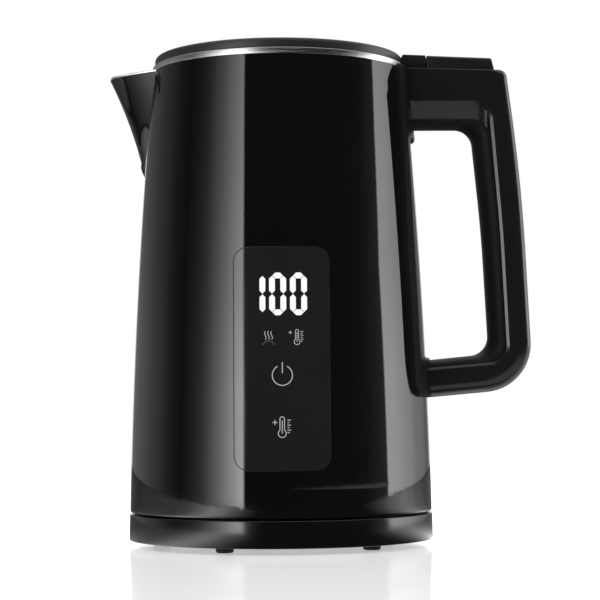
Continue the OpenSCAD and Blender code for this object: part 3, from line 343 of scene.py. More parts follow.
def corner_arc(a, b, c, r, n):
    """Points of an arc of radius r that rounds the corner b between a and c."""
    a, b, c = Vector(a), Vector(b), Vector(c)
    if r == 0:
        return [b]
    u, v = (a - b).normalized(), (c - b).normalized()
    half = math.acos(max(-1.0, min(1.0, u.dot(v)))) / 2
    centre = b + (u + v).normalized() * r / math.sin(half)
    start = b + u * r / math.tan(half) - centre
    end = b + v * r / math.tan(half) - centre
    a0 = math.atan2(start.y, start.x)
    turn = math.atan2(end.y, end.x) - a0
    turn = (turn + math.pi) % (2 * math.pi) - math.pi
    return [centre + r * Vector((math.cos(a0 + turn * i / n), math.sin(a0 + turn * i / n)))
            for i in range(n + 1)]


def rounded(corners, n=8):
    """Outline with each corner (point, radius) rounded."""
    m = len(corners)
    return [p for i in range(m) for p in
            corner_arc(corners[i - 1][0], corners[i][0], corners[(i + 1) % m][0],
                       corners[i][1], n)]


def loop_of(bm, points, closed=True):
    """Edges through the points."""
    verts = [bm.verts.new(p) for p in points]
    pairs = zip(verts, verts[1:] + verts[:1] if closed else verts[1:])
    return [bm.edges.new(pair) for pair in pairs]


def pull(bm, edges, move):
    """Extrudes a loop of edges and moves each new vertex by move(old vertex, place)."""
    made = bmesh.ops.extrude_edge_only(bm, edges=edges)["geom"]
    new = {v for v in made if isinstance(v, bmesh.types.BMVert)}
    for e in {e for v in new for e in v.link_edges}:
        for v, old in (e.verts, reversed(e.verts)):
            if v in new and old not in new:
                v.co = move(old, old.co.copy())
    return [e for e in made if isinstance(e, bmesh.types.BMEdge)
            and e.verts[0] in new and e.verts[1] in new]


def loft(bm, rings, closed=True, ends=True):
    """Draws the first ring of points and pulls each next one out of the last."""
    edges = first = loop_of(bm, rings[0], closed)
    order = [e.verts[0] for e in edges] + ([] if closed else [edges[-1].verts[1]])
    for ring in rings[1:]:
        place = {v: Vector(p) for v, p in zip(order, ring)}
        edges = pull(bm, edges, lambda old, co: place[old])
        above = {}
        new = {v for e in edges for v in e.verts}
        for v in order:
            above[v] = next(e.other_vert(v) for e in v.link_edges if e.other_vert(v) in new)
        order = [above[v] for v in order]
    if ends:
        bmesh.ops.edgeloop_fill(bm, edges=first)
        bmesh.ops.edgeloop_fill(bm, edges=edges)


def spin_profile(bm, points, steps=192, closed=True, start=0.0, angle=2 * math.pi):
    """Turns an (r, z) profile about the axis."""
    turn = Matrix.Rotation(start, 3, "Z")
    edges = loop_of(bm, [turn @ Vector((r, 0, z)) for r, z in points], closed)
    geometry = list({v for e in edges for v in e.verts}) + edges
    full = abs(angle - 2 * math.pi) < 1e-6
    bmesh.ops.spin(bm, geom=geometry, cent=(0, 0, 0), axis=(0, 0, 1), angle=angle,
                   steps=steps, use_merge=full)


def from_axis(place):
    """Direction away from the kettle's axis."""
    return (place.x, place.y, 0)


def finish_piece(bm, name, body, material, replaced=(), crease=35, outward=True,
                 facing=None):
    """Scales the bmesh from millimetres into a piece that rides on body.

    Edges sharper than crease degrees stay hard. facing gives, for a place, the side on
    which most of the faces lie.
    """
    bmesh.ops.remove_doubles(bm, verts=bm.verts, dist=SAME_PLACE)
    if outward:
        bmesh.ops.recalc_face_normals(bm, faces=bm.faces)
    if facing:
        total = sum(f.normal.dot(Vector(facing(f.calc_center_median()))) for f in bm.faces)
        if total < 0:
            bmesh.ops.reverse_faces(bm, faces=bm.faces)
    bmesh.ops.scale(bm, vec=(MM, MM, MM), verts=bm.verts)
    mesh = bpy.data.meshes.new(name)
    bm.to_mesh(mesh)
    bm.free()
    mesh.polygons.foreach_set("use_smooth", [True] * len(mesh.polygons))
    mesh.set_sharp_from_angle(angle=math.radians(crease))
    mesh.materials.append(material)
    piece = bpy.data.objects.new(name, mesh)
    bpy.context.scene.collection.objects.link(piece)
    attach(piece, body)
    if replaced:
        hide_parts(*replaced)
    return piece


# ---------- Power base ----------

def base_skirt():
    bm = bmesh.new()
    deck, dish = BASE_R - 18, BASE_H - 1.5
    wall = 2.4
    outline = [(Vector((BASE_R - wall, FOOT_H)), 0.4), (Vector((BASE_R, FOOT_H)), 0.5),
               (Vector((BASE_TOP_R, BASE_H)), 0.55), (Vector((deck, BASE_H)), 1.2),
               (Vector((deck - 1.5, dish)), 1.2), (Vector((16.6, dish)), 0.4),
               (Vector((16.6, dish - wall)), 0), (Vector((deck, dish - wall)), 0),
               (Vector((deck + 1.5, BASE_H - wall)), 0),
               (Vector((BASE_TOP_R - wall, BASE_H - wall)), 0)]
    spin_profile(bm, rounded(outline, 5), 240)
    return finish_piece(bm, "base_skirt", "power_base", BASE_BLACK,
                        ["base_cover"])


# ---------- Outer wall and spout ----------

def spout_point(z, t, inset=0.0):
    """Reach and y of the spout's side at height z, t from 0 at its root to 1 at its ridge."""
    s = max(z - SPOUT_Z, 0.0)
    flare = (SPOUT_REACH - wall_r(SPOUT_Z) - SPOUT_LEAN * (SPOUT_H - 3)) / (SPOUT_H - 3) ** 2
    ridge = wall_r(SPOUT_Z) + SPOUT_LEAN * s + flare * s * s
    w = max(SPOUT_HALF_W * (s / SPOUT_H) ** 0.62 - inset * 1.1, 0.6)
    root = math.sqrt((wall_r(min(z, RIM_Z)) - ROOT_DEPTH) ** 2 - w * w)
    nose = max(min(SPOUT_NOSE_R - inset, w * 0.8), 0.5)
    tip = max(ridge - inset * 1.25, root + nose)
    away = math.atan2(w, tip - root) * (1 - SPOUT_SWELL)
    p0, p3 = Vector((root, w)), Vector((tip, 0))
    p1 = p0 + Vector((math.cos(away), -math.sin(away))) * (tip - root) / 2
    p2 = Vector((tip, min(nose * NOSE_PULL, p1.y * 0.9)))
    u = 1 - t
    return p0 * u ** 3 + p1 * 3 * u * u * t + p2 * 3 * u * t * t + p3 * t ** 3


def lip_z(x):
    """Height of the spout's lip at x."""
    if x > TIP_X:
        return LIP_Z - (LIP_X - x) * LIP_SLOPE
    low = LIP_Z - (LIP_X - TIP_X) * LIP_SLOPE
    return low - (TIP_X - x) * TIP_DROP / TIP_RUN


def spout_line(inset, level):
    """Points round the spout from root to root, level giving each height from the lip's."""
    half = []
    for i in range(SPOUT_STEPS + 1):
        t = i / SPOUT_STEPS
        z = level(lip_z(-spout_point(RIM_Z, t, inset).x))
        p = spout_point(z, t, inset)
        half.append(Vector((-p.x, p.y, z)))
    return half + [Vector((p.x, -p.y, p.z)) for p in reversed(half[:-1])]


def in_mouth(place):
    """True for a place on the wall that lies well inside the spout."""
    if place.x > 0 or place.z < SPOUT_Z + MOUTH_FOOT:
        return False
    side = [spout_point(place.z, i / MOUTH_CUTS, MOUTH_INSET) for i in range(MOUTH_CUTS + 1)]
    for a, b in zip(side, side[1:]):
        if b.y <= abs(place.y) <= a.y:
            share = (a.y - abs(place.y)) / max(a.y - b.y, 1e-6)
            return -place.x < a.x + (b.x - a.x) * share - MOUTH_LAND
    return False


def outer_wall():
    bm = bmesh.new()
    foot = ((0.0, 0.7), (0.25, 0.28), (0.7, 0.05))
    rows = [BODY_Z + 1.4 + (BODY_H - 1.4) * i / 84 for i in range(84)]
    # the last two rows lie close together, so that the rim shades flat
    rows += [RIM_Z - 0.06, RIM_Z]
    profile = [(wall_r(BODY_Z + up) - back, BODY_Z + up) for up, back in foot]
    profile += [(wall_r(z), z) for z in rows]
    sector = math.radians(20)
    spin_profile(bm, profile, 90, False, math.pi - sector, 2 * sector)
    spin_profile(bm, profile, 180, False, math.pi + sector, 2 * math.pi - 2 * sector)
    bmesh.ops.remove_doubles(bm, verts=bm.verts, dist=SAME_ROW)
    mouth = [f for f in bm.faces if all(in_mouth(v.co) for v in f.verts)]
    bmesh.ops.delete(bm, geom=mouth, context="FACES")
    piece = finish_piece(bm, "outer_wall", "kettle", SHELL_BLACK,
                         ["outer_shell"], crease=60, facing=from_axis)
    sheet(piece)


def sheet(piece):
    """Gives an open surface its wall, inwards."""
    thick = piece.modifiers.new("sheet", "SOLIDIFY")
    thick.thickness = SHEET_T * MM
    thick.offset = -1


def spout_skin():
    bm = bmesh.new()
    low = SPOUT_Z - 2
    # the last two rows lie close together, so that the lip's edge shades flat
    shares = [k / SPOUT_ROWS for k in range(SPOUT_ROWS)] + [0.999, 1]
    loft(bm, [spout_line(0, lambda top, k=k: low + (top - LIP_T - low) * k) for k in shares],
         closed=False, ends=False)
    piece = finish_piece(bm, "spout_skin", "kettle", SHELL_BLACK,
                         crease=60, facing=from_axis)
    piece.visible_glossy = False
    sheet(piece)


def spout_steel():
    """The liner of the spout with its bright lip, open to the vessel."""
    bm = bmesh.new()
    inner = SPOUT_WALL + 0.1
    # each row: inset from the skin, height below the lip
    rows = [(0.15, 3.0), (0.0, 0.85), (-0.12, 0.6), (-0.12, 0.25), (0.1, 0.0), (inner - 0.4, 0.0),
            (inner - 0.05, 0.15), (inner, 0.6)]
    rows += [(inner, 0.6 + LINER_DEPTH * i / LINER_ROWS) for i in range(1, LINER_ROWS + 1)]
    rings = []
    for inset, below in rows:
        line = spout_line(inset, lambda top: top - below)
        ends = []
        for root in (line[0], line[-1]):
            r = VESSEL_TOP_R + 0.8 + (VESSEL_LOW_R - VESSEL_TOP_R) * (RIM_Z - root.z) / BODY_H
            reach = math.sqrt(r * r - root.y ** 2)
            ends.append(Vector((-min(reach, -root.x), root.y, root.z)))
        rings.append([ends[0]] + line + [ends[1]])
    middle = sum(rings[-1], Vector()) / len(rings[-1])
    rings.append([middle for _ in rings[-1]])
    loft(bm, rings, closed=False, ends=False)
    return finish_piece(bm, "spout_steel", "kettle", LINER_STEEL,
                        ["spout_liner"], crease=50, outward=False, facing=lambda place: (0, 0, 1))


def rim_band():
    bm = bmesh.new()
    inner = VESSEL_TOP_R + 0.05
    outline = [((BODY_TOP_R, RIM_Z), 0.1), ((BODY_TOP_R - 0.05, RING_TOP - 0.05), 0.25),
               ((inner, RING_TOP), 0.4), ((inner, RIM_Z - 1.7), 0.1),
               ((inner + 1, RIM_Z - 1.7), 0.1), ((inner + 1, RIM_Z), 0)]
    spin_profile(bm, rounded([(Vector(p), r) for p, r in outline], 4), 240)
    return finish_piece(bm, "rim_band", "kettle", RING_STEEL, ["rim_ring"])


# ---------- Front panel ----------

def on_wall(bm, lift=0.0):
    """Wraps flat work, drawn in x and z with its thickness towards -y, round the wall."""
    for v in bm.verts:
        r = wall_r(v.co.z) + lift - v.co.y
        v.co.y = -math.sqrt(r * r - v.co.x ** 2)


def panel_corner(x, half_w, radius):
    over = max(abs(x) - (half_w - radius), 0.0)
    return radius - math.sqrt(max(radius * radius - over * over, 0.0))


def panel_plate():
    bm = bmesh.new()
    across, along = 56, 60
    bmesh.ops.create_grid(bm, x_segments=across, y_segments=along, size=1.0)
    middle = PANEL_Z + PANEL_H / 2
    for v in bm.verts:
        u, t = v.co.x, v.co.y
        x = PANEL_HALF_W * math.sin(u * math.pi / 2) if abs(u) < 1 else PANEL_HALF_W * u
        high = PANEL_H / 2 - panel_corner(x, PANEL_HALF_W, PANEL_CORNER_R)
        v.co = Vector((x, 0, middle + t * high))
    rim = [e for e in bm.edges if e.is_boundary]
    centre = Vector((0, 0, middle))

    def step(inwards, back):
        def move(old, co):
            away = co - centre
            x = co.x - math.copysign(inwards, away.x) * min(abs(away.x) / 15, 1)
            z = co.z - math.copysign(inwards, away.z) * min(abs(away.z) / 45, 1)
            return Vector((x, back, z))
        return move
    rim = pull(bm, rim, step(-0.04, 0.03))
    rim = pull(bm, rim, step(-0.03, 0.09))
    pull(bm, rim, step(0.0, 1.2))
    on_wall(bm, 0.05)
    return finish_piece(bm, "panel_plate", "kettle", PANEL_SMOKE,
                        ["control_panel"], crease=50)


def panel_seam():
    """Dark band round the panel: painted shade that stands in for the shaded groove between the
    panel and the wall.
    """
    bm = bmesh.new()
    rings = []
    for grow, out in ((0.04, 0.5), (0.06, -0.05), (0.42, -0.05), (0.45, 0.5)):
        w, r = PANEL_HALF_W + grow, PANEL_CORNER_R + grow
        z0, z1 = PANEL_Z - grow, PANEL_TOP + grow
        corners = [(Vector((w, z0)), r), (Vector((w, z1)), r), (Vector((-w, z1)), r),
                   (Vector((-w, z0)), r)]
        outline = rounded(corners, 8)
        dense = []
        for a, b in zip(outline, outline[1:] + outline[:1]):
            cuts = max(int((b - a).length / 3), 1)
            dense += [a + (b - a) * i / cuts for i in range(cuts)]
        rings.append([(p.x, out, p.y) for p in dense])
    loft(bm, rings, ends=False)
    on_wall(bm, 0.0)
    return finish_piece(bm, "panel_seam", "kettle", GROOVE_SHADE_BLACK)


def segment(bm, centre, length, upright):
    """One lit bar with pointed ends."""
    h, half = SEGMENT_W / 2, length / 2
    outline = [(-half, 0), (-half + h, h), (half - h, h), (half, 0), (half - h, -h),
               (-half + h, -h)]
    if upright:
        outline = [(-y, x) for x, y in outline]
    x0, z0 = centre
    loft(bm, [[(x0 + x, y, z0 + z) for x, z in outline] for y in (0.3, -0.1)])


def digits():
    bm = bmesh.new()
    x, y, gap = (DIGIT_W - SEGMENT_W) / 2, (DIGIT_H - SEGMENT_W) / 2, 0.35
    bars = {"a": (0, y, 0), "b": (x, y / 2, 1), "c": (x, -y / 2, 1), "d": (0, -y, 0),
            "e": (-x, -y / 2, 1), "f": (-x, y / 2, 1)}
    for place, lit_bars in enumerate(("bc", "abcdef", "abcdef")):
        centre_x = DIGIT_X + (place - 2) * DIGIT_PITCH
        for bar in lit_bars:
            dx, dz, upright = bars[bar]
            length = (y if upright else 2 * x) - gap
            segment(bm, (centre_x + dx, DIGIT_Z + dz), length, upright)
    on_wall(bm, 0.05)
    return finish_piece(bm, "digit_bars", "kettle", DISPLAY_WHITE)


def strokes(name, lines, width):
    """Thin lit lines on the panel, each a list of (x, z) points."""
    curve = bpy.data.curves.new(name, "CURVE")
    curve.dimensions = "3D"
    curve.bevel_depth = width / 2
    curve.bevel_resolution = 2
    curve.use_fill_caps = True
    for points in lines:
        spline = curve.splines.new("POLY")
        spline.points.add(len(points) - 1)
        for target, (x, z) in zip(spline.points, points):
            target.co = (x, 0, z, 1)
    holder = bpy.data.objects.new(name, curve)
    bpy.context.scene.collection.objects.link(holder)
    mesh = bpy.data.meshes.new_from_object(
        holder.evaluated_get(bpy.context.evaluated_depsgraph_get()))
    bpy.data.objects.remove(holder)
    bm = bmesh.new()
    bm.from_mesh(mesh)
    bpy.data.meshes.remove(mesh)
    for v in bm.verts:
        v.co.y *= STROKE_RISE / (width / 2)
    on_wall(bm, 0.05)
    return finish_piece(bm, name, "kettle", ICON_WHITE)


def arc(cx, cz, r, a0, a1, n=24):
    return [(cx + r * math.cos(math.radians(a0 + (a1 - a0) * i / n)),
             cz + r * math.sin(math.radians(a0 + (a1 - a0) * i / n))) for i in range(n + 1)]


def dot(x, z):
    return [(x - DOT_HALF, z), (x + DOT_HALF, z)]


def thermometer(x, z0, z1, width):
    """Bulb and tube of a thermometer from z0 to z1."""
    r = width / 2
    bulb = r * 1.75
    cz = z0 + bulb
    open_deg = math.degrees(math.asin(r / bulb))
    outline = arc(x, cz, bulb, 90 + open_deg, 450 - open_deg, 28)
    outline += [(x + r, z1 - r)] + arc(x, z1 - r, r, 0, 180, 10) + [(x - r, cz + bulb * 0.8)]
    return [outline, [(x, cz), (x, z1 - 1.6 * r)]]


def icons():
    x, z = -6.15, 100.0
    waves = []
    for k in (-1, 0, 1):
        waves.append([(x + k * 1.45 + 0.35 * math.sin(t * 2 * math.pi),
                       z - 0.9 + 3.9 * t) for t in [i / 14 for i in range(15)]])
    dots = [dot(*p) for p in arc(x, z - 4.4, 2.9, 30, 150, 6)]
    strokes("icon_steam", waves + dots, 0.34)
    x, z = 6.45, 100.3
    small = thermometer(x + 0.6, z - 3.6, z + 3.4, 1.5)
    small += [[(x - 3.3, z + 2.0), (x - 1.7, z + 2.0)], [(x - 2.5, z + 1.2), (x - 2.5, z + 2.8)]]
    small += [[(x + 2.3, z - 2.0 + 0.9 * k), (x + (3.5 if k % 2 else 3.1), z - 2.0 + 0.9 * k)]
              for k in range(6)]
    strokes("icon_warmth_small", small, 0.34)
    x, z = 0.15, 82.6
    strokes("icon_power", [arc(x, z, 4.65, 118, 422, 48), [(x, z + 0.9), (x, z + 6.0)]], 0.46)
    x = -0.05
    large = thermometer(x, 54.0, 63.5, 2.1)
    large += [[(x - 4.5, 60.9), (x - 2.2, 60.9)], [(x - 3.35, 59.75), (x - 3.35, 62.05)]]
    large += [[(x + 2.4, 56.2 + 1.15 * k), (x + (4.0 if k % 2 else 3.4), 56.2 + 1.15 * k)]
              for k in range(6)]
    strokes("icon_warmth_large", large, 0.42)


# ---------- Handle ----------

def opening_corners():
    side, top, low = GRIP_ROUND + BAND_SIDE, GRIP_LIFT + BAND_TOP, -GRIP_LIFT - BAND_LOW
    middle = ((OPEN_X + OPEN_TOP_X) / 2 + 1, (OPEN_LOW_Z + OPEN_TOP_Z) / 2 + 5)
    return [((ARM_IN_X, OPEN_LOW_Z - 4.6), 0, (0, -GRIP_LIFT), (0, low)),
            ((OPEN_X, OPEN_LOW_Z), 9.5, (GRIP_ROUND, -GRIP_LIFT), (side, low)),
            (middle, 700, (GRIP_ROUND, 0), (side, 0)),
            ((OPEN_TOP_X, OPEN_TOP_Z), 9, (GRIP_ROUND, GRIP_LIFT), (side, top)),
            ((ARM_IN_X, OPEN_TOP_Z), 0, (0, GRIP_LIFT), (0, top))]


def opening_points(grip, band, back, chamfer=0.0):
    """Corners of the finger opening's edge, by shares of the moves to the grip and the band."""
    made = []
    for point, radius, to_grip, to_side in opening_corners():
        shares = (chamfer, band if to_side[1] > 0 else chamfer)
        away = (0 if to_grip[0] == 0 else back,
                math.copysign(back, to_grip[1]) if to_grip[1] else 0)
        made.append((Vector([point[i] + to_grip[i] * grip + away[i]
                             + (to_side[i] - to_grip[i]) * shares[i] for i in (0, 1)]), radius))
    return made


def outer_points(share):
    """Corners of the handle's outer edge, moved by a share towards the side face."""
    e = HANDLE_EDGE_R
    middle = ((HANDLE_TOP_REACH + HANDLE_REACH) / 2 + 1.2,
              (HANDLE_TOP_Z + HANDLE_LOW_Z) / 2 + 22)
    corners = [((ARM_IN_X, HANDLE_TOP_Z + 0.4), 0, (0, -1)),
               ((HANDLE_TOP_REACH, HANDLE_TOP_Z - 1.2), 4, (-e, -1)),
               (middle, 900, (-e, 0)),
               ((HANDLE_REACH, HANDLE_LOW_Z), HANDLE_CORNER_R, (-e, e)),
               ((ARM_IN_X, HANDLE_LOW_Z - ARM_RISE), 0, (0, e))]
    return [(Vector((p[0] + m[0] * share, p[1] + m[1] * share)), r) for p, r, m in corners]


def round_share(t):
    """Share of a quarter round's inset at a share t of its width."""
    return 1 - math.sqrt(max(1 - t * t, 0.0))


def handle_ring(y, outer, grip, band, back, chamfer=0.0):
    outline = rounded(outer_points(outer) + opening_points(grip, band, back, chamfer), 14)
    return [(p.x, y, p.y) for p in outline]


def handle_loop():
    bm = bmesh.new()
    flat = HANDLE_HALF_W - HANDLE_EDGE_R
    share = round_share((GRIP_HALF_W - flat) / HANDLE_EDGE_R)
    half = [(0.01, 0, 1, 0, GRIP_BACK), (flat, 0, 1, 0, GRIP_BACK),
            (GRIP_HALF_W, share, 1, 0, GRIP_BACK), (GRIP_HALF_W + 0.02, share, 1, 0, 0)]
    chamfer_y = HANDLE_HALF_W - CHAMFER_T
    heights = [flat + HANDLE_EDGE_R * math.sin(math.radians(90 * i / 16)) for i in range(1, 17)]
    for y in sorted([y for y in heights if y > GRIP_HALF_W + 0.05] + [chamfer_y]):
        band = (y - GRIP_HALF_W) / (HANDLE_HALF_W - GRIP_HALF_W)
        chamfer = max(y - chamfer_y, 0.0) / CHAMFER_T
        half.append((y, round_share((y - flat) / HANDLE_EDGE_R), 1, band, 0, chamfer))
    rings = [handle_ring(-r[0], *r[1:]) for r in reversed(half)]
    rings += [handle_ring(*r) for r in half]
    loft(bm, rings)
    return finish_piece(bm, "handle_loop", "kettle", HANDLE_BLACK,
                        ["handle_shell"], crease=14)


def grip_liner():
    bm = bmesh.new()
    rings = []
    steps = 14
    for i in range(-steps, steps + 1):
        a = math.radians(90 * i / steps)
        share = round_share(abs(math.sin(a)))
        corners = opening_points(share, 0, 0) + list(reversed(opening_points(1, 0, GRIP_BACK)))
        rings.append([(p.x, GRIP_HALF_W * math.sin(a), p.y) for p in rounded(corners, 12)])
    loft(bm, rings)
    return finish_piece(bm, "grip_liner", "kettle", GRIP_BLACK,
                        ["handle_grip"], crease=50)


def across_ray(outline, a):
    """Distance from the middle of a closed outline to its edge in direction a."""
    ray = Vector((math.cos(a), math.sin(a)))
    best = 0.0
    for p, q in zip(outline, outline[1:] + outline[:1]):
        run = q - p
        bottom = ray.x * run.y - ray.y * run.x
        if abs(bottom) > 1e-9:
            along = (p.x * ray.y - p.y * ray.x) / bottom
            far = (p.x * run.y - p.y * run.x) / bottom
            if -1e-6 <= along <= 1 + 1e-6 and far > best:
                best = far
    return best


def mount_strip():
    """Strip on the wall that carries the handle, open in the middle."""
    bm = bmesh.new()
    centre = Vector((0, (OPEN_TOP_Z + OPEN_LOW_Z) / 2))
    top, low = HANDLE_TOP_Z, HANDLE_LOW_Z - 4.2
    outer = [((28, top), 5), ((-28, top), 5), ((-37.4, 143), 300), ((-38, low), 9),
             ((38, low), 9), ((37.4, 143), 300)]
    window = [((23.5, OPEN_TOP_Z - 6), 6), ((-23.5, OPEN_TOP_Z - 6), 6),
              ((-28.2, OPEN_LOW_Z - 2), 6), ((28.2, OPEN_LOW_Z - 2), 6)]
    outer, window = ([p - centre for p in rounded([(Vector(p), r) for p, r in corners], 10)]
                     for corners in (outer, window))
    angles = {round(math.atan2(p.y, p.x), 4) for p in outer + window}
    angles |= {math.radians(2 * i - 179) for i in range(180)}
    far = [(a, across_ray(outer, a), across_ray(window, a)) for a in sorted(angles)]
    soft = 0.6
    steps = [(soft * (1 - math.cos(math.radians(18 * i))), MOUNT_T - soft
              + soft * math.sin(math.radians(18 * i))) for i in range(6)]
    rings = []
    for inwards, lift in [(0, -0.5)] + steps:
        rings.append([(a, r0 - inwards, lift) for a, r0, r1 in far])
    for k in range(1, 10):
        rings.append([(a, r0 + (r1 - r0) * k / 10, MOUNT_T) for a, r0, r1 in far])
    for inwards, lift in list(reversed(steps)) + [(0, -0.5)]:
        rings.append([(a, r1 + inwards, lift) for a, r0, r1 in far])
    places = []
    for ring in rings:
        places.append([])
        for a, reach, lift in ring:
            y, z = reach * math.cos(a), centre.y + reach * math.sin(a)
            places[-1].append((math.sqrt((wall_r(z) + lift) ** 2 - y * y), y, z))
    loft(bm, places, ends=False)
    made = finish_piece(bm, "mount_strip", "kettle", MOUNT_BLACK,
                        ["handle_mount"], outward=False, facing=from_axis)
    # the part of the strip next to the window is smooth
    made.data.materials.append(HANDLE_BLACK)
    for face in made.data.polygons:
        y, z = face.center.y / MM, face.center.z / MM - centre.y
        a = math.atan2(z, y)
        r0, r1 = across_ray(outer, a), across_ray(window, a)
        if face.normal.x > 0.3 and (r0 - math.hypot(y, z)) / (r0 - r1) > STRIP_MATT_SHARE:
            face.material_index = 1
    return made


# ---------- Lid and button ----------

def ear_ring(y, inset, slotted):
    """Side outline of the lid's ear at y, cut back where a lug of the hinge stands."""
    slot_x, back, join = HINGE_X - LUG_R - 0.35, HINGE_X + EAR_R - inset, LID_R - 1.5
    top, low = EAR_TOP + 0.3 - inset, EAR_LOW + inset
    fall = 0.45 / (back - join)
    outline = rounded([
        (Vector((join, LID_Z)), 0), (Vector((BODY_TOP_R + 0.8, LID_Z)), 0),
        (Vector((BODY_TOP_R + 1.2, low)), 0), (Vector((slot_x, low)), 0),
        (Vector((back, low)), 0.8), (Vector((back, top)), 0.5),
        (Vector((slot_x, top + (back - slot_x) * fall)), 0),
        (Vector((join + 1.3, top + 0.45)), 0.5), (Vector((join, LID_TOP - 1.6)), 0)], 6)
    return [(min(p.x, slot_x) if slotted else p.x, y, p.y) for p in outline]


def lid_shell():
    bm = bmesh.new()
    wall, edge, cuts = 2.0, 1.8, 16
    flat = LID_R - edge
    profile = [(flat * i / cuts, LID_TOP + LID_DOME * (1 - (i / cuts) ** 2))
               for i in range(cuts)]
    profile += corner_arc((0, LID_TOP), (LID_R, LID_TOP), (LID_R, LID_Z), edge, 8)
    profile += corner_arc((LID_R, LID_TOP), (LID_R, LID_Z), (LID_R - wall, LID_Z), 0.3, 3)
    profile += [(LID_R - wall, LID_Z), (LID_R - wall, LID_TOP - wall),
                (0, LID_TOP + LID_DOME - wall)]
    spin_profile(bm, profile, 240, False)
    finish_piece(bm, "lid_shell", "lid", LID_BLACK, ["lid_cover"])


def lid_ear():
    """Ear of the lid with the slots for the hinge and the tail that the catch holds."""
    bm = bmesh.new()
    slot_in, slot_out = LUG_IN - 0.2, LUG_IN + LUG_T + 0.2
    half = [(EAR_HALF_W, 0.4, False), (EAR_HALF_W - 0.12, 0.12, False),
            (EAR_HALF_W - 0.4, 0, False), (slot_out, 0, False), (slot_out, 0, True),
            (slot_in, 0, True), (slot_in, 0, False)]
    rings = [ear_ring(-y, inset, slotted) for y, inset, slotted in half]
    rings += [ear_ring(y, inset, slotted) for y, inset, slotted in reversed(half)]
    loft(bm, rings)
    tail = [(HINGE_X - 1.7, EAR_LOW + 0.5), (HINGE_X + 2.4, EAR_LOW + 0.5),
            (HINGE_X + 4, HINGE_Z + TAIL_TOP), (HINGE_X + TAIL_LEN, HINGE_Z + TAIL_TOP),
            (HINGE_X + TAIL_LEN, HINGE_Z + TAIL_TOP - TAIL_T),
            (HINGE_X + TAIL_ROOT_X, HINGE_Z + TAIL_TOP - TAIL_T)]
    loft(bm, [[(x, y, z) for x, z in tail] for y in (-TAIL_HALF_W, TAIL_HALF_W)])
    return finish_piece(bm, "lid_ear", "lid", BUTTON_BLACK)


def button_ring(y, inset):
    front, end = BUTTON_X - 0.5 + inset * 0.4, BUTTON_END + 0.8 - inset * 0.6
    top = EAR_TOP + 0.22 - inset
    outline = rounded([
        (Vector((front, BUTTON_LOW)), 0), (Vector((front, top)), 0.5),
        (Vector((end - 1.5, top - BUTTON_FALL)), 1),
        (Vector((end, HANDLE_TOP_Z - 1.4)), 0), (Vector((end, BUTTON_LOW)), 0)], 6)
    return [(p.x, y, p.y) for p in outline]


def button_cap():
    bm = bmesh.new()
    soft, cuts = 1.2, 6
    half = []
    for i in range(cuts + 1):
        t = math.sin(math.radians(90 - 90 * i / cuts))
        half.append((EAR_HALF_W - soft + soft * t, soft * round_share(t)))
    rings = [button_ring(-y, inset) for y, inset in half]
    rings += [button_ring(y, inset) for y, inset in reversed(half)]
    loft(bm, rings)
    return finish_piece(bm, "button_cap", "lid_button", BUTTON_BLACK,
                        ["lid_button"])


# ---------- Camera, light and room ----------

def camera():
    """Camera by its place in metres and its turns in radians."""
    x, y, z = -0.0100, -0.9573, 0.07059
    yaw, pitch, roll = 0.0209, 0.0527, -0.0063
    forward = Vector((math.sin(yaw) * math.cos(pitch), math.cos(yaw) * math.cos(pitch),
                      math.sin(pitch)))
    right0 = forward.cross(Vector((0, 0, 1))).normalized()
    up0 = right0.cross(forward)
    right = right0 * math.cos(roll) + up0 * math.sin(roll)
    up = -right0 * math.sin(roll) + up0 * math.cos(roll)
    data = bpy.data.cameras.new("camera")
    data.lens, data.sensor_width = 115.15, 36.0
    data.clip_start, data.clip_end = 0.05, 20
    made = bpy.data.objects.new("camera", data)
    made.matrix_world = Matrix((
        (right.x, up.x, -forward.x, x), (right.y, up.y, -forward.y, y),
        (right.z, up.z, -forward.z, z), (0, 0, 0, 1)))
    bpy.context.scene.collection.objects.link(made)
    bpy.context.scene.camera = made


# what the kettle mirrors at each angle from the camera's side, right of it positive
ROOM = ((-180, 1.0), (-168, 1.0), (-160, 0.25), (-130, 0.42), (-108, 0.36), (-96, 0.14),
        (-83, 0.03), (-77, 0.12), (-71, 0.25), (-65, 0.5), (-60, 0.95), (-50, 2.7), (-40, 5.4),
        (-33.5, 7.6), (-31.2, 7.8), (-30.4, 0.003), (0, 0.003), (57, 0.01), (73, 0.06),
        (86, 0.22), (90.3, 0.3), (91.3, 5.5), (100, 4.6), (110, 3.2), (129, 1.2), (151, 0.26),
        (160, 0.3), (163, 1.0), (180, 1.0))
# rows of the studio wall: height, share of the left and the right box, turn of each box
ROOM_ROWS = ((-0.5, 1.0, 1.0, -24, 12), (-0.06, 1.0, 1.0, -24, 12), (-0.03, 1.0, 1.0, 3.1, -5.2),
             (0.03, 1.0, 1.0, 3.1, -5.2), (0.06, 1.0, 1.0, 3.1, -5.2), (0.17, 1.0, 1.0, 3.0, -5.4),
             (0.35, 0.73, 0.87, 2.0, -6.0), (0.56, 0.54, 0.76, 1.1, -1.9),
             (0.71, 0.45, 0.62, 0, 3.0), (1.3, 0.3, 0.6, -2, 5))
# the dark card on the floor: its rings in mm, and what its middle shows of the base's sides
CARD_RADII, CARD_DARK = (76, 1240, 1300, 1320, 1380, 1490), 0.01
CARD = ((-180, 0.1), (-133, 0.1), (-109, 0.3), (-93, 0.48), (-80, 0.6), (-69, 1.1), (-59, 2.35),
        (-50.5, 3.5), (-42, 2.95), (-34, 1.5), (-25, 0.45), (-17, 0.02), (0, 0.005),
        (60, 0.02), (64, 0.1), (75, 0.6), (86, 1.5), (100, 1.9), (119, 0.66), (135, 0.2),
        (180, 0.1))
LOW_TURNS = (3.1, -5.2)
WALL_R, CARD_Z, FLOOR_R = 1500, 0.6, 1.2


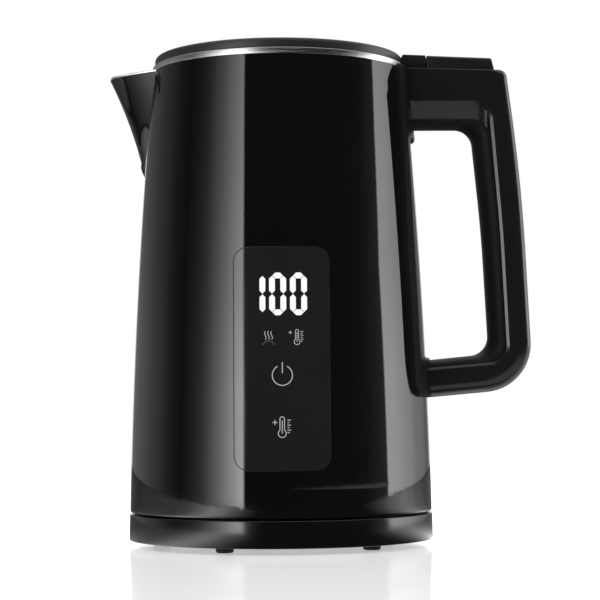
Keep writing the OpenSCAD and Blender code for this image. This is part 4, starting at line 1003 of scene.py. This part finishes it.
def table_light(table, turn):
    """Radiance in a table of angles, joined by straight lines."""
    for (a0, l0), (a1, l1) in zip(table, table[1:]):
        if a0 <= turn <= a1:
            return l0 + (l1 - l0) * (turn - a0) / (a1 - a0)
    return 0.0


def room_light(turn, left, right):
    """Radiance of the studio wall at an angle, with its row's shares."""
    light = table_light(ROOM, turn)
    return light * (1.0 if abs(turn) > 160 else left if turn < 0 else right)


def box_turn(turn, left, right):
    """Turn of the studio wall at an angle, fading out in front and behind."""
    side = abs(turn)
    share = min(side / 20, (178 - side) / 40, 1.0)
    return max(share, 0.0) * (left if turn < 0 else right)


def unseen(thing):
    """Leaves a thing of the studio to reflections alone."""
    thing.visible_camera = thing.visible_diffuse = thing.visible_shadow = False
    thing.visible_transmission = False


def glow_sheet(name, bm, values, upwards):
    """Sheet of the studio with its light at each vertex, clear from below if upwards."""
    mesh = bpy.data.meshes.new(name)
    bm.to_mesh(mesh)
    bm.free()
    glow = mesh.attributes.new("glow", "FLOAT", "POINT")
    glow.data.foreach_set("value", values)
    material = bpy.data.materials.new(name + "_glow")
    material.use_nodes = True
    tree = material.node_tree
    tree.nodes.clear()
    out = tree.nodes.new("ShaderNodeOutputMaterial")
    shine = tree.nodes.new("ShaderNodeEmission")
    read = tree.nodes.new("ShaderNodeAttribute")
    read.attribute_name = "glow"
    tree.links.new(read.outputs["Fac"], shine.inputs["Strength"])
    if upwards:
        clear = tree.nodes.new("ShaderNodeBsdfTransparent")
        side = tree.nodes.new("ShaderNodeNewGeometry")
        mix = tree.nodes.new("ShaderNodeMixShader")
        tree.links.new(side.outputs["Backfacing"], mix.inputs[0])
        tree.links.new(shine.outputs[0], mix.inputs[1])
        tree.links.new(clear.outputs[0], mix.inputs[2])
        shine = mix
    tree.links.new(shine.outputs[0], out.inputs["Surface"])
    mesh.materials.append(material)
    made = bpy.data.objects.new(name, mesh)
    bpy.context.scene.collection.objects.link(made)
    unseen(made)


def room_wall():
    """Studio wall with soft boxes, which only reflections see."""
    bm = bmesh.new()
    spin_profile(bm, [(WALL_R, row[0] / MM) for row in ROOM_ROWS], 450, False)
    bmesh.ops.remove_doubles(bm, verts=bm.verts, dist=SAME_ROW)
    bmesh.ops.scale(bm, vec=(MM, MM, MM), verts=bm.verts)
    values = []
    for v in bm.verts:
        left, right, left_turn, right_turn = min(
            ROOM_ROWS, key=lambda row: abs(row[0] - v.co.z))[1:]
        turn = math.degrees(math.atan2(v.co.x, -v.co.y))
        values.append(room_light(turn, left, right))
        v.co = Matrix.Rotation(math.radians(box_turn(turn, left_turn, right_turn)), 3, "Z") @ v.co
    glow_sheet("studio_wall", bm, values, False)


def card_light(place):
    """Radiance of the dark card: the base sees its middle, the walls of the body its rim."""
    turn = math.degrees(math.atan2(place.x, -place.y))
    reach = math.hypot(place.x, place.y) / MM
    near = 1 - smooth((reach - CARD_RADII[1]) / (CARD_RADII[2] - CARD_RADII[1]))
    far = smooth((reach - CARD_RADII[3]) / (CARD_RADII[4] - CARD_RADII[3]))
    turned = turn - LOW_TURNS[0] if turn < 0 else turn - LOW_TURNS[1]
    return CARD_DARK + near * table_light(CARD, turn) + far * table_light(ROOM, turned)


def facing_up(bm):
    if sum(f.normal.z for f in bm.faces) < 0:
        bmesh.ops.reverse_faces(bm, faces=bm.faces)
    return bm


def ground():
    """Dark card on the floor, and a light one that the handle's slopes see."""
    bm = bmesh.new()
    spin_profile(bm, [(r, CARD_Z) for r in CARD_RADII], 180, False)
    bmesh.ops.scale(bm, vec=(MM, MM, MM), verts=bm.verts)
    glow_sheet("studio_card_dark", facing_up(bm), [card_light(v.co) for v in bm.verts], True)
    bm = bmesh.new()
    bmesh.ops.create_grid(bm, x_segments=1, y_segments=1, size=0.14)
    bmesh.ops.translate(bm, vec=(0.17, -0.2, 0.03), verts=bm.verts)
    glow_sheet("studio_card_light", facing_up(bm), [0.7 for _ in bm.verts], True)


def seen_rays(tree):
    """1 for rays of the camera, of reflections and through glass, else 0."""
    path = tree.nodes.new("ShaderNodeLightPath")
    first = tree.nodes.new("ShaderNodeMath")
    second = tree.nodes.new("ShaderNodeMath")
    first.operation, second.operation = "MAXIMUM", "MAXIMUM"
    tree.links.new(path.outputs["Is Camera Ray"], first.inputs[0])
    tree.links.new(path.outputs["Is Glossy Ray"], first.inputs[1])
    tree.links.new(first.outputs[0], second.inputs[0])
    tree.links.new(path.outputs["Is Transmission Ray"], second.inputs[1])
    return second.outputs[0]


def world():
    made = bpy.data.worlds.new("studio")
    bpy.context.scene.world = made
    made.use_nodes = True
    tree = made.node_tree
    background = tree.nodes["Background"]
    background.inputs["Color"].default_value = (1, 1, 1, 1)
    strength = tree.nodes.new("ShaderNodeMapRange")
    strength.inputs["To Min"].default_value = 0.55
    strength.inputs["To Max"].default_value = 1.0
    tree.links.new(seen_rays(tree), strength.inputs["Value"])
    tree.links.new(strength.outputs[0], background.inputs["Strength"])


def floor():
    bm = bmesh.new()
    bmesh.ops.create_circle(bm, cap_ends=True, segments=128, radius=FLOOR_R)
    mesh = bpy.data.meshes.new("floor")
    bm.to_mesh(mesh)
    bm.free()
    made = bpy.data.objects.new("floor", mesh)
    bpy.context.scene.collection.objects.link(made)
    material = bpy.data.materials.new("floor_white_acrylic")
    material.use_nodes = True
    tree = material.node_tree
    shader = tree.nodes["Principled BSDF"]
    shader.inputs["Base Color"].default_value = (0.9, 0.9, 0.9, 1)
    shader.inputs["Roughness"].default_value = 0.1
    shader.inputs["IOR"].default_value = 1.38
    shader.inputs["Emission Color"].default_value = (1, 1, 1, 1)
    glow = tree.nodes.new("ShaderNodeMath")
    glow.operation = "MULTIPLY"
    glow.inputs[1].default_value = 0.42
    tree.links.new(seen_rays(tree), glow.inputs[0])
    tree.links.new(glow.outputs[0], shader.inputs["Emission Strength"])
    mesh.materials.append(material)


def lamp(name, place, size, power):
    data = bpy.data.lights.new(name, "AREA")
    data.shape, data.size = "DISK", size
    data.energy = power
    made = bpy.data.objects.new(name, data)
    made.location = place
    made.rotation_mode = "QUATERNION"
    made.rotation_quaternion = (Vector((0, 0, 0.12)) - made.location).to_track_quat("-Z", "Y")
    made.visible_glossy = False
    made.visible_camera = False
    bpy.context.scene.collection.objects.link(made)


bpy.context.scene.view_settings.view_transform = "Standard"
camera()
world()
room_wall()
ground()
floor()
lamp("key_left", Vector((-0.9, -1.1, 1.2)), 0.9, 12)
lamp("fill_right", Vector((1.2, -0.7, 0.8)), 0.8, 7)

base_skirt()
outer_wall()
spout_skin()
spout_steel()
rim_band()
panel_plate()
panel_seam()
digits()
icons()
handle_loop()
grip_liner()
mount_strip()
lid_shell()
lid_ear()
button_cap()
